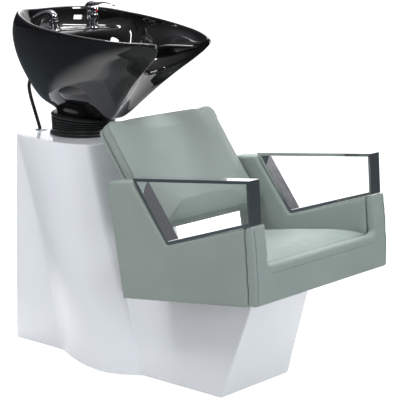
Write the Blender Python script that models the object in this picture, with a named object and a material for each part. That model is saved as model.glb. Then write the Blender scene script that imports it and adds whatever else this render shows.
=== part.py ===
"""Shampoo backwash unit: tilting ceramic basin on a moulded base, with a fixed upholstered chair.

Metres, +Z up. The client sits facing -Y, so the chair is at -Y, the basin at +Y and the
client's right hand side is -X. X = 0 is the symmetry plane and Z = 0 the floor.
"""
import math

import bmesh
import bpy
from mathutils import Matrix, Vector

# ---------------------------------------------------------------- driving dimensions
GAP = 0.0003                     # clearance between neighbouring pieces

# moulded base: a leaning column with a flat rear wing, and a plinth under the chair
SHELL_WALL = 0.006
SHELL_FOOT_Z = 0.003
DECK_Z = 0.672                   # top of the column
BASE_REAR_Y = 0.572
REAR_LEAN = 0.035                # forward lean of the rear face, metres per metre
WING_HALF = 0.1316               # half width of the flat rear wing
REAR_CORNER_R = 0.012
COLUMN_HALF_FLOOR, COLUMN_HALF_DECK = 0.2055, 0.182
COLUMN_WIDEST = 0.67             # where the column is widest, as a share of its length
COLUMN_FRONT_HALF = 0.152
PLINTH_HALF = 0.1546
PLINTH_TAPER = 0.083
PLINTH_FRONT_Y = -0.321
PLINTH_FRONT_LEAN = 0.326
PLINTH_TUCK_Y = 0.115            # how far the plinth reaches back into the column

# chair, tilted back as one block
CHAIR_HALF = 0.3025
ARM_THICK = 0.0586
CHAIR_TILT = math.radians(7.1)
CHAIR_REAR_Y, CHAIR_REAR_Z = -0.0801, 0.2823      # rear lower edge of the chair
CHAIR_LENGTH = 0.4897
BOARD_THICK = 0.015
FRONT_THICK = 0.026
ARM_BAR_WIDTH = 0.045
ARM_BAR_THICK = 0.009
ARM_BAR_INSET = 0.006
BACK_HALF = 0.2312
BACK_THICK = 0.060
BACK_BOARD_THICK = 0.012
BACK_LEAN = math.atan2(0.207, 0.2755)
BACK_LENGTH = 0.3446
BACK_FOOT = (-0.165, 0.4975)     # lower front edge of the backrest, (y, z)

# basin, tilted forward at rest about the two pins inside the bellows
BASIN_Y = 0.375                  # centre of bellows and collar
COLLAR_R = 0.080
COLLAR_Z = 0.735
COLLAR_SLOPE = 0.105             # the basin's bottom plane rises to the rear
TILT_Z = 0.705
WASTE_Y = 0.328
WASTE_HOLE_R = 0.024
BOWL_FLOOR_Z = 0.768
TAP_DECK_Z = 0.988
TAP_Y = 0.437
MIXER_X = 0.106
HANDSET_X = -0.060
HOSE_PORT = ((-0.045, 0.500, 0.8665), (-0.045, 0.580, 0.8290))   # axis of the hose hole
BELLOWS_RING_R, BELLOWS_RING_H = 0.1050, 0.012
BELLOWS_R, BELLOWS_DEPTH, BELLOWS_FOLDS = 0.1010, 0.009, 5
BELLOWS_BORE = 0.077
GLAND_XY = (-0.0405, 0.523)
GLAND_HOLE_R = 0.0145

HOSE_R = 0.0055

# outline of the rim, from the middle of the rear to the middle of the neck notch (x >= 0)
RIM_OUTER = ((0.0, 0.580, 1.043), (0.060, 0.575, 1.044), (0.105, 0.551, 1.046),
             (0.155, 0.502, 1.046), (0.199, 0.448, 1.040), (0.240, 0.354, 1.024),
             (0.2497, 0.270, 1.012), (0.239, 0.180, 1.001), (0.214, 0.090, 0.991),
             (0.176, 0.019, 0.984), (0.145, -0.020, 0.982), (0.120, -0.046, 0.971),
             (0.101, -0.031, 0.948), (0.083, 0.020, 0.921), (0.050, 0.074, 0.892),
             (0.0, 0.092, 0.879))
RIM_INNER = ((0.0, 0.566, 1.045), (0.056, 0.562, 1.046), (0.098, 0.540, 1.048),
             (0.146, 0.493, 1.048), (0.188, 0.441, 1.042), (0.228, 0.351, 1.026),
             (0.2375, 0.270, 1.014), (0.227, 0.184, 1.003), (0.203, 0.098, 0.993),
             (0.166, 0.030, 0.986), (0.135, -0.010, 0.984), (0.106, -0.036, 0.980),
             (0.100, 0.010, 0.962), (0.090, 0.085, 0.938), (0.058, 0.125, 0.925),
             (0.0, 0.138, 0.920))
HORN = 10                        # the rim point where the horn begins
RIM_STEPS = 32                   # samples along half the rim


# ---------------------------------------------------------------- scene and materials
def clear_scene():
    for obj in list(bpy.data.objects):
        bpy.data.objects.remove(obj)


def finish(name, colour, roughness, metallic=0.0):
    mat = bpy.data.materials.new(name)
    mat.use_nodes = True
    shader = mat.node_tree.nodes["Principled BSDF"]
    shader.inputs["Base Color"].default_value = (*colour, 1.0)
    shader.inputs["Roughness"].default_value = roughness
    shader.inputs["Metallic"].default_value = metallic
    mat.diffuse_color = (*colour, 1.0)
    return mat


clear_scene()
WHITE_GEL = finish("white_gelcoat", (0.78, 0.80, 0.84), 0.15)
BLACK_CERAMIC = finish("black_ceramic", (0.006, 0.006, 0.007), 0.06)
LEATHER = finish("grey_green_leather", (0.25, 0.30, 0.27), 0.45)
CHROME = finish("chrome", (0.80, 0.81, 0.82), 0.07, 1.0)
STEEL = finish("painted_steel", (0.06, 0.06, 0.065), 0.5, 0.3)
ZINC = finish("zinc_steel", (0.55, 0.56, 0.58), 0.4, 1.0)
BLACK_RUBBER = finish("black_rubber", (0.012, 0.012, 0.013), 0.5)
PLYWOOD = finish("plywood", (0.45, 0.30, 0.17), 0.6)
WHITE_PLASTIC = finish("white_plastic", (0.75, 0.75, 0.74), 0.4)
BLACK_PLASTIC = finish("black_plastic", (0.02, 0.02, 0.022), 0.35)
RED_PLASTIC = finish("red_plastic", (0.65, 0.02, 0.03), 0.3)
BRAID = finish("braided_hose", (0.45, 0.46, 0.47), 0.4, 0.8)
BRASS = finish("brass", (0.60, 0.44, 0.18), 0.3, 1.0)


def axis_empty(name, place, parent=None):
    """A parent for the pieces that turn or slide together, standing on their joint's axis."""
    empty = bpy.data.objects.new(name, None)
    bpy.context.scene.collection.objects.link(empty)
    empty.location = place
    bpy.context.view_layer.update()
    if parent is not None:
        attach(empty, parent)
    return empty


def attach(obj, parent):
    obj.parent = parent
    obj.matrix_parent_inverse = parent.matrix_world.inverted()
    bpy.context.view_layer.update()


def add_piece(name, bm, material, parent=None, sharp_deg=35.0):
    """Turn a bmesh, drawn in world coordinates, into a named object with outward normals."""
    bmesh.ops.recalc_face_normals(bm, faces=bm.faces)
    mesh = bpy.data.meshes.new(name)
    bm.to_mesh(mesh)
    bm.free()
    mesh.materials.append(material)
    mesh.shade_smooth()
    mesh.set_sharp_from_angle(angle=math.radians(sharp_deg))
    obj = bpy.data.objects.new(name, mesh)
    bpy.context.scene.collection.objects.link(obj)
    if parent is not None:
        attach(obj, parent)
    return obj


def add_bevel(obj, width, segments=2):
    mod = obj.modifiers.new("edges", "BEVEL")
    mod.width = width
    mod.segments = segments
    mod.limit_method = "ANGLE"
    mod.angle_limit = math.radians(40)


def boolean(obj, bm, name, operation):
    helper = add_piece(name, bm, STEEL)
    helper.hide_render = True
    helper.display_type = "WIRE"
    mod = obj.modifiers.new(name, "BOOLEAN")
    mod.operation = operation
    mod.solver = "EXACT"
    mod.object = helper
    return helper


def cut(obj, bm, name):
    """Subtract a bmesh, drawn in world coordinates, from an object."""
    return boolean(obj, bm, name, "DIFFERENCE")


def weld(obj, bm, name):
    """Join a bmesh, drawn in world coordinates, onto an object."""
    return boolean(obj, bm, name, "UNION")


# ---------------------------------------------------------------- shape helpers
def mix(a, b, t):
    return a + (b - a) * t


def smooth(lo, hi, value):
    t = min(max((value - lo) / (hi - lo), 0.0), 1.0)
    return t * t * (3 - 2 * t)


def spline(points, t):
    """Point on the Catmull-Rom curve through points, t from 0 to 1."""
    last = len(points) - 1
    i = min(int(t * last), last - 1)
    f = t * last - i
    p1, p2 = Vector(points[i]), Vector(points[i + 1])
    p0 = Vector(points[i - 1]) if i > 0 else 2 * p1 - p2
    p3 = Vector(points[i + 2]) if i + 2 <= last else 2 * p2 - p1
    return 0.5 * (2 * p1 + (p2 - p0) * f + (2 * p0 - 5 * p1 + 4 * p2 - p3) * f * f
                  + (3 * p1 - p0 - 3 * p2 + p3) * f ** 3)


def even_route(points, step):
    """Points a step apart along the smooth curve through a route's own points."""
    fine = [spline(points, k / 600) for k in range(601)]
    route, travelled = [fine[0]], 0.0
    for a, b in zip(fine, fine[1:]):
        travelled += (b - a).length
        if travelled >= step:
            route.append(b)
            travelled = 0.0
    if (fine[-1] - route[-1]).length < step * 0.5:
        route.pop()
    route.append(fine[-1])
    return route


def loft(rings, wrap=False, caps=True):
    """Skin rings of equal length; wrap joins the last ring to the first."""
    bm = bmesh.new()
    rows = [[bm.verts.new(p) for p in ring] for ring in rings]
    pairs = list(zip(rows, rows[1:]))
    if wrap:
        pairs.append((rows[-1], rows[0]))
    for low, high in pairs:
        for i in range(len(low)):
            j = (i + 1) % len(low)
            bm.faces.new((low[i], low[j], high[j], high[i]))
    if caps and not wrap:
        bm.faces.new(rows[0])
        bm.faces.new(rows[-1])
    return bm


def circle(centre, radius, count, normal="Z"):
    cx, cy, cz = centre
    ring = []
    for k in range(count):
        a = 2 * math.pi * k / count
        u, v = radius * math.cos(a), radius * math.sin(a)
        offset = {"Z": (u, v, 0), "X": (0, u, v), "Y": (v, 0, u)}[normal]
        ring.append((cx + offset[0], cy + offset[1], cz + offset[2]))
    return ring


def turned(centre, profile, count=24, hollow=False, normal="Z"):
    """A turned piece: profile is (radius, height) pairs along the normal from the centre."""
    axis = {"Z": Vector((0, 0, 1)), "X": Vector((1, 0, 0)), "Y": Vector((0, 1, 0))}[normal]
    rings = [circle(Vector(centre) + axis * h, r, count, normal) for r, h in profile]
    return loft(rings, wrap=hollow)


def box(lo, hi):
    bm = bmesh.new()
    bmesh.ops.create_cube(bm, size=1.0)
    size = Vector(hi) - Vector(lo)
    bmesh.ops.scale(bm, vec=size, verts=bm.verts)
    bmesh.ops.translate(bm, vec=(Vector(lo) + Vector(hi)) / 2, verts=bm.verts)
    return bm


def prism_x(outline, x_lo, x_hi):
    """Extrude a (y, z) outline along X."""
    return loft([[(x, y, z) for y, z in outline] for x in (x_lo, x_hi)])


def inset(outline, distance):
    """Move a closed 2-D outline inwards by a distance, along its corner normals."""
    area = sum(a[0] * b[1] - b[0] * a[1] for a, b in zip(outline, outline[1:] + outline[:1]))
    side = 1.0 if area > 0 else -1.0
    moved = []
    for i, here in enumerate(outline):
        before = Vector(outline[i - 1])
        after = Vector(outline[(i + 1) % len(outline)])
        here = Vector(here)
        d1, d2 = (here - before).normalized(), (after - here).normalized()
        n1, n2 = Vector((-d1.y, d1.x)) * side, Vector((-d2.y, d2.x)) * side
        corner = (n1 + n2).normalized()
        moved.append(here + corner * (distance / max(corner.dot(n1), 0.4)))
    return [(p.x, p.y) for p in moved]


def hose(name, route, radius, material, parent=None, sides=2, step=0.028):
    """A flexible tube along the smooth curve through its route's points."""
    curve = bpy.data.curves.new(name, "CURVE")
    curve.dimensions = "3D"
    curve.bevel_depth = radius
    curve.bevel_resolution = sides
    curve.use_fill_caps = True
    points = even_route(route, step)
    run = curve.splines.new("POLY")
    run.points.add(len(points) - 1)
    for slot, p in zip(run.points, points):
        slot.co = (*p, 1.0)
    curve.materials.append(material)
    obj = bpy.data.objects.new(name, curve)
    bpy.context.scene.collection.objects.link(obj)
    if parent is not None:
        attach(obj, parent)
    return obj


# ---------------------------------------------------------------- moulded base
def wing_end_y(z):
    """Where the flat wing meets the bulging column, on the side of the base."""
    return min(0.349 + 0.22 * z + 0.10 * z * z, rear_y(z) - REAR_CORNER_R - 0.004)


def rear_y(z):
    return BASE_REAR_Y - REAR_LEAN * z


def column_front_y(z):
    return -0.017 + 0.42 * z - 0.14 * z * z


def column_half(z):
    """Half outline (x >= 0) of the column at height z, from rear middle to front middle."""
    back, wing, front = rear_y(z), wing_end_y(z), column_front_y(z)
    widest = mix(COLUMN_HALF_FLOOR, COLUMN_HALF_DECK, z / DECK_Z)
    half = [(0.0, back), (WING_HALF * 0.5, back)]
    for k in range(4):
        a = math.radians(90 - 30 * k)
        half.append((WING_HALF - REAR_CORNER_R * (1 - math.cos(a)),
                     back - REAR_CORNER_R * (1 - math.sin(a))))
    steps = 14
    for k in range(steps + 1):
        q = k / steps
        if q < COLUMN_WIDEST:
            x = mix(WING_HALF, widest, math.sin(math.pi / 2 * q / COLUMN_WIDEST))
        else:
            a = math.pi / 2 * (q - COLUMN_WIDEST) / (1 - COLUMN_WIDEST)
            x = mix(COLUMN_FRONT_HALF, widest, math.cos(a))
        half.append((x, mix(wing, front, q)))
    half.append((COLUMN_FRONT_HALF - 0.020, front - 0.006))
    half.append((COLUMN_FRONT_HALF - 0.055, front - 0.009))
    half.append((0.0, front - 0.010))
    return half


def column_ring(z, inwards, height=None):
    half = column_half(z)
    outline = half + [(-x, y) for x, y in reversed(half[1:-1])]
    if inwards:
        outline = inset(outline, inwards)
    return [(x, y, z if height is None else height) for x, y in outline]


def column_body():
    rings = [column_ring(z, 0.0) for z in
             (SHELL_FOOT_Z, 0.09, 0.18, 0.27, 0.36, 0.45, 0.54, 0.61, 0.650, 0.663)]
    rings.append(column_ring(0.669, 0.002))
    rings.append(column_ring(DECK_Z, 0.008))
    return loft(rings)


def column_hollow():
    rings = [column_ring(0.0, SHELL_WALL, -0.02)]
    rings += [column_ring(z, SHELL_WALL) for z in (0.0, 0.12, 0.24, 0.36, 0.48, 0.58, 0.65)]
    rings.append(column_ring(DECK_Z - SHELL_WALL, SHELL_WALL + 0.004))
    return loft(rings)


def chair_floor_z(y):
    """Height of the chair's underside, which rises towards the front."""
    return CHAIR_REAR_Z + (CHAIR_REAR_Y - y) * math.tan(CHAIR_TILT)


PLATE_THICK = 0.006
PLINTH_DROP = PLATE_THICK + 2 * GAP      # room for the mounting plate under the chair


def plinth_block(wall, foot_z, tuck_y):
    """The plinth, or with a wall thickness the hollow inside it, as an eight-cornered block."""
    top = -PLINTH_DROP - wall * 1.01

    def front_y(z):
        return PLINTH_FRONT_Y - PLINTH_FRONT_LEAN * z + wall * 1.05

    def half(z):
        return PLINTH_HALF - PLINTH_TAPER * z - wall

    slope = math.tan(CHAIR_TILT)
    base = CHAIR_REAR_Z + CHAIR_REAR_Y * slope + top
    front_top_z = (base - slope * front_y(0)) / (1 - slope * PLINTH_FRONT_LEAN)
    rear_top_z = base - slope * tuck_y
    corners = []
    for y, z in ((front_y(foot_z), foot_z), (front_y(front_top_z), front_top_z),
                 (tuck_y, rear_top_z), (tuck_y, foot_z)):
        corners.append((half(max(z, 0.0)), y, z))
    return loft([[(-x, y, z) for x, y, z in corners], corners])


def base_shell():
    shell = add_piece("base_shell", column_body(), WHITE_GEL, sharp_deg=24)
    plinth = weld(shell, plinth_block(0.0, SHELL_FOOT_Z, PLINTH_TUCK_Y), "plinth_block")
    add_bevel(plinth, 0.004)
    cut(shell, column_hollow(), "column_hollow")
    cut(shell, plinth_block(SHELL_WALL, -0.02, PLINTH_TUCK_Y + 0.012), "plinth_hollow")
    cut(shell, turned((0, BASIN_Y, DECK_Z - 0.02), ((0.083, 0), (0.083, 0.04)), 48), "deck_hole")
    cut(shell, turned((*GLAND_XY, DECK_Z - 0.02), ((GLAND_HOLE_R, 0), (GLAND_HOLE_R, 0.04)), 24),
        "gland_hole")
    cut(shell, box((-0.045, CHAIR_POST_Y - 0.035, 0.20), (0.045, CHAIR_POST_Y + 0.035, 0.34)),
        "post_hole")
    cut(shell, box((-0.080, 0.50, ACCESS_Z[0] + 0.02), (0.080, 0.60, ACCESS_Z[1] - 0.02)),
        "access_hole")
    for _, z in ACCESS_SCREWS:
        cut(shell, turned((0, 0.54, z), ((0.0023, 0), (0.0023, 0.06)), 12, normal="Y"),
            "screw_hole")


ACCESS_Z = (0.10, 0.46)
ACCESS_HALF = 0.095
ACCESS_SCREWS = (("lower", 0.110), ("upper", 0.450))
CHAIR_POST_Y = -0.200


def access_panel():
    """Screwed cover over the plumbing, on the rear face."""
    thick = 0.003
    rings = []
    for offset, grow in ((GAP, 0.0), (GAP + thick, 0.0)):
        ring = []
        for x, z in rounded_rectangle(ACCESS_HALF - grow, ACCESS_Z[0], ACCESS_Z[1], 0.012):
            ring.append((x, rear_y(z) + offset, z))
        rings.append(ring)
    panel = add_piece("rear_access_panel", loft(rings), WHITE_GEL)
    for place, z in ACCESS_SCREWS:
        cut(panel, turned((0, 0.54, z), ((0.0023, 0), (0.0023, 0.06)), 12, normal="Y"),
            "panel_hole")
        face = rear_y(z) + GAP + thick
        screw = ((0.0019, -0.014), (0.0019, 2 * GAP), (0.0042, 2 * GAP), (0.0036, 0.0022))
        add_piece("access_screw_" + place, turned((0, face, z), screw, 12, normal="Y"), ZINC)


def rounded_rectangle(half, low, high, radius, steps=3):
    points = []
    for cx, cz, start in ((half - radius, high - radius, 0), (-half + radius, high - radius, 90),
                          (-half + radius, low + radius, 180), (half - radius, low + radius, 270)):
        for k in range(steps + 1):
            a = math.radians(start + 90 * k / steps)
            points.append((cx + radius * math.cos(a), cz + radius * math.sin(a)))
    return points


# ---------------------------------------------------------------- steel frame inside the base
FLOOR_PLATE_Z = 0.006
FLOOR_PLATE_Y = (-0.285, 0.530)
ANCHORS = (("front", -0.255), ("rear", 0.505))
OUTLET_Y = 0.190
SUPPLY_X, SUPPLY_Y = 0.055, 0.465
TOP_PLATE_Z = (0.640, 0.646)
BRACKET_Z = (0.646 + GAP, 0.651)
BRACKET_BOLTS = (("right", -0.075), ("left", 0.075))
BRACKET_BOLT_Y = 0.320
MOUNT_BOLTS = (("right", -0.150), ("left", 0.150))
MOUNT_BOLT_Y = -0.190


def tilted(bm):
    """Turn a bmesh drawn flat about the chair's rear lower edge, by the chair's tilt."""
    turn = Matrix.Rotation(-CHAIR_TILT, 4, "X")
    move = Matrix.Translation((0, CHAIR_REAR_Y, CHAIR_REAR_Z)) @ turn
    bmesh.ops.transform(bm, matrix=move, verts=bm.verts)
    return bm


def steel_frame():
    """One weldment: floor plate, two uprights and their top plate, chair post and seat plate."""
    frame = add_piece("steel_frame", box((-0.112, FLOOR_PLATE_Y[0], 0),
                                         (0.112, FLOOR_PLATE_Y[1], FLOOR_PLATE_Z)), STEEL)
    for x in (-0.085, 0.085):
        weld(frame, box((x - 0.012, 0.355, FLOOR_PLATE_Z - 0.001),
                        (x + 0.012, 0.395, TOP_PLATE_Z[0] + 0.001)), "upright")
    weld(frame, box((-0.100, 0.290, TOP_PLATE_Z[0]), (0.100, 0.465, TOP_PLATE_Z[1])),
         "top_plate")
    weld(frame, box((-0.040, CHAIR_POST_Y - 0.030, FLOOR_PLATE_Z - 0.001),
                    (0.040, CHAIR_POST_Y + 0.030, chair_floor_z(CHAIR_POST_Y + 0.030) - 0.003)),
         "chair_post")
    weld(frame, tilted(box((-0.170, -0.330, -PLATE_THICK - GAP), (0.170, -0.055, -GAP))),
         "seat_plate")
    cut(frame, box((-0.046, 0.305, 0.60), (0.046, 0.455, 0.68)), "service_opening")
    cut(frame, turned((0, OUTLET_Y, -0.01), ((0.0205, 0), (0.0205, 0.03)), 24), "outlet_hole")
    for place, y in ANCHORS:
        cut(frame, turned((0, y, -0.01), ((0.0065, 0), (0.0065, 0.03)), 16), "anchor_hole")
        shank = ((0.006, -FLOOR_PLATE_Z), (0.006, GAP), (0.011, GAP), (0.011, 0.0017),
                 (0.0095, 0.0017), (0.0095, 0.008))
        add_piece("floor_anchor_" + place, turned((0, y, FLOOR_PLATE_Z), shank, 12), ZINC)
    for _, x in BRACKET_BOLTS:
        cut(frame, turned((x, BRACKET_BOLT_Y, 0.63), ((0.0033, 0), (0.0033, 0.03)), 12),
            "bolt_hole")
    for place, x in MOUNT_BOLTS:
        hole = tilted(turned((x, MOUNT_BOLT_Y - CHAIR_REAR_Y, -0.02),
                             ((0.0045, 0), (0.0045, 0.03)), 16))
        cut(frame, hole, "mount_hole")
        bolt = ((0.0075, -0.005), (0.0075, 0), (0.0040, 0), (0.0040, 0.017))
        under = -PLATE_THICK - 2 * GAP
        add_piece("seat_bolt_" + place,
                  tilted(turned((x, MOUNT_BOLT_Y - CHAIR_REAR_Y, under), bolt, 12)), ZINC)


# ---------------------------------------------------------------- chair
SEAT_FRONT_TOP_Z = 0.449
FRONT_FOOT = (-0.566, 0.3428)
FRONT_HEAD = (-0.5487, 0.5598)
SIDE_REAR = ((-0.0801, 0.2823), (-0.0494, 0.4475), (-0.0235, 0.5743), (-0.0283, 0.6146))
NOTCH_REAR = (-0.1147, 0.6242)
NOTCH_FOOT = (-0.2462, 0.4619)
POST_FOOT = (-0.5410, 0.5582)
POST_HEAD = (-0.5324, 0.678)
ARM_SLOPE = (FRONT_HEAD[1] - NOTCH_FOOT[1]) / (NOTCH_FOOT[0] - FRONT_HEAD[0])


def front_face_y(z, bulge=0.0):
    """The chair's front face, which bulges a little between its edges."""
    t = (z - FRONT_FOOT[1]) / (FRONT_HEAD[1] - FRONT_FOOT[1])
    return mix(FRONT_FOOT[0], FRONT_HEAD[0], t) - bulge * math.sin(math.pi * min(max(t, 0), 1))


def side_panel(name, sign):
    """Upholstered side of the chair: panel, arm and arm rest in one, notched for the arm bar."""
    rear_gap = FRONT_THICK + GAP
    outline = list(SIDE_REAR)
    outline += [NOTCH_REAR, NOTCH_FOOT, (FRONT_HEAD[0] + rear_gap,
                                         FRONT_HEAD[1] - ARM_SLOPE * rear_gap),
                (FRONT_FOOT[0] + rear_gap, chair_floor_z(FRONT_FOOT[0] + rear_gap))]
    panel = add_piece(name, prism_x(outline, sign * (CHAIR_HALF - ARM_THICK), sign * CHAIR_HALF),
                      LEATHER)
    cut(panel, turned((sign * 0.22, *BACK_BOLT), ((0.0044, 0), (0.0044, sign * 0.05)), 12,
                      normal="X"), "bolt_pocket")


def front_panel():
    """U-shaped upholstered front: apron and the two arm fronts."""
    inner = CHAIR_HALF - ARM_THICK
    outer, top, seat = CHAIR_HALF, FRONT_HEAD[1], SEAT_FRONT_TOP_Z
    low = FRONT_FOOT[1]
    outline = [(-outer, low), (-outer, 0.41), (-outer, 0.49), (-outer, top), (-inner, top),
               (-inner, 0.50), (-inner, seat), (inner, seat), (inner, 0.50), (inner, top),
               (outer, top), (outer, 0.49), (outer, 0.41), (outer, low)]
    rings = []
    for back in (0.0, FRONT_THICK):
        ring = []
        for x, z in outline:
            drop = ARM_SLOPE * back if z == top else 0.0
            bulge = 0.0 if back else 0.005
            ring.append((x, front_face_y(z, bulge) + back, z - drop))
        rings.append(ring)
    add_piece("front_panel", loft(rings), LEATHER)


def seat():
    half = CHAIR_HALF - ARM_THICK - GAP
    rear, front = -0.004, -CHAIR_LENGTH + FRONT_THICK + GAP
    board = add_piece("seat_board", tilted(box((-half, front, GAP), (half, rear, BOARD_THICK))),
                      PLYWOOD)
    for _, x in MOUNT_BOLTS:
        cut(board, tilted(turned((x, MOUNT_BOLT_Y - CHAIR_REAR_Y, -0.01),
                                 ((0.0045, 0), (0.0045, 0.0225)), 16)), "insert_hole")
    low = BOARD_THICK / math.cos(CHAIR_TILT) + GAP
    y_front = front_face_y(0.44) + FRONT_THICK + 2 * GAP
    y_rear = -0.118
    top_rear = SEAT_FRONT_TOP_Z - (y_rear - y_front) * 0.128
    outline = [(y_rear, chair_floor_z(y_rear) + low), (y_rear, top_rear - 0.020),
               (y_rear - 0.012, top_rear - 0.004), (y_rear - 0.04, top_rear),
               (-0.330, SEAT_FRONT_TOP_Z - (-0.330 - y_front) * 0.128 + 0.004),
               (y_front + 0.04, SEAT_FRONT_TOP_Z), (y_front, SEAT_FRONT_TOP_Z - 0.003),
               (y_front, chair_floor_z(y_front) + low)]
    add_piece("seat_cushion", prism_x(outline, -half, half), LEATHER)
    z_rail = BOARD_THICK + GAP
    add_piece("seat_rear_rail", tilted(box((-half, -0.034, z_rail), (half, -0.006, 0.085))),
              PLYWOOD)


def back_point(up, out):
    """(y, z) of a point on the backrest: up along its face, and out behind it."""
    return (BACK_FOOT[0] + up * math.sin(BACK_LEAN) + out * math.cos(BACK_LEAN),
            BACK_FOOT[1] + up * math.cos(BACK_LEAN) - out * math.sin(BACK_LEAN))


BACK_BOLT = back_point(0.085, 0.030)


def back_slab(out_lo, out_hi, shrink, edge):
    """A slab of the backrest with rounded corners and softened edges."""
    rings = []
    layers = ((out_lo, edge), (out_lo + edge, 0.0), (out_hi - edge, 0.0), (out_hi, edge))
    for out, pull in layers:
        pull += shrink
        outline = rounded_rectangle(BACK_HALF - pull, pull, BACK_LENGTH - pull, 0.024, 4)
        rings.append([(x, *back_point(up, out)) for x, up in outline])
    return loft(rings)


def backrest():
    split = BACK_THICK - BACK_BOARD_THICK
    cushion = add_piece("backrest_cushion", back_slab(0.0, split - GAP, 0.0, 0.008), LEATHER)
    add_piece("backrest_board", back_slab(split, BACK_THICK, 0.002, 0.002), LEATHER)
    for side, sign in (("right", -1), ("left", 1)):
        x = sign * (BACK_HALF - 0.020)
        cut(cushion, turned((x, *BACK_BOLT), ((0.0044, 0), (0.0044, sign * 0.04)), 12,
                            normal="X"), "back_bolt_hole")
        inner = sign * (BACK_HALF - 0.018)
        bolt = ((0.0040, 0), (0.0040, sign * 0.0192), (0.0090, sign * 0.0192),
                (0.0090, sign * 0.0300), (0.0040, sign * 0.0300), (0.0040, sign * 0.0500))
        add_piece("backrest_bolt_" + side, turned((inner, *BACK_BOLT), bolt, 12, normal="X"),
                  ZINC)


def arm_frame(name, sign):
    """Closed loop of chromed flat bar in the notch of the side panel."""
    lift = 2 * GAP
    outer = [(NOTCH_REAR[0], NOTCH_REAR[1] + 0.0085), NOTCH_FOOT, POST_FOOT, POST_HEAD]
    outer = [(y, z) for y, z in inset(outer, lift)]
    inner = inset(outer, ARM_BAR_THICK)
    x_lo = CHAIR_HALF - ARM_BAR_INSET - ARM_BAR_WIDTH
    x_hi = CHAIR_HALF - ARM_BAR_INSET
    rings = [[(sign * x, y, z) for y, z in loop]
             for x, loop in ((x_lo, inner), (x_lo, outer), (x_hi, outer), (x_hi, inner))]
    frame = add_piece(name, loft(rings, wrap=True), CHROME)
    add_bevel(frame, 0.0008, 1)


# ---------------------------------------------------------------- bellows and tilt hinge
def collar_z(y):
    return COLLAR_Z + COLLAR_SLOPE * (y - BASIN_Y)


def bellows():
    foot = DECK_Z + BELLOWS_RING_H + 2 * GAP
    ring = ((BELLOWS_RING_R, GAP), (BELLOWS_RING_R, BELLOWS_RING_H * 0.7),
            (BELLOWS_RING_R - 0.004, BELLOWS_RING_H), (0.084, BELLOWS_RING_H), (0.084, GAP))
    add_piece("bellows_base_ring", turned((0, BASIN_Y, DECK_Z), ring, 36, hollow=True),
              BLACK_RUBBER)
    profile = [(BELLOWS_BORE, 0.0), (BELLOWS_BORE + 0.006, 0.0)]
    for fold in range(BELLOWS_FOLDS):
        for share, depth in ((0.05, 1.0), (0.35, 0.15), (0.65, 0.15), (0.95, 1.0)):
            profile.append((BELLOWS_R - BELLOWS_DEPTH * depth, (fold + share) / BELLOWS_FOLDS))
    profile += [(BELLOWS_BORE + 0.006, 1.0), (BELLOWS_BORE, 1.0), (BELLOWS_BORE - 0.002, 0.5)]
    rings = []
    for radius, share in profile:
        ring = []
        for x, y, _ in circle((0, BASIN_Y, 0), radius, 36):
            ring.append((x, y, mix(foot, collar_z(y) - GAP, share)))
        rings.append(ring)
    add_piece("bellows", loft(rings, wrap=True), BLACK_RUBBER)


EAR_LOWER_X = (0.0560, 0.0610)
EAR_UPPER_X = (0.0475, 0.0525)
PIN_R = 0.005


def ear_outline(z_foot, half, z_pin, grow):
    """Side view of a hinge ear: straight sides and a round head about the pin."""
    points = [(BASIN_Y - half, z_foot), (BASIN_Y + half, z_foot)]
    for k in range(9):
        a = math.radians(180 * k / 8)
        points.append((BASIN_Y + half * math.cos(a), z_pin + grow * half * math.sin(a)))
    return points


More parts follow.
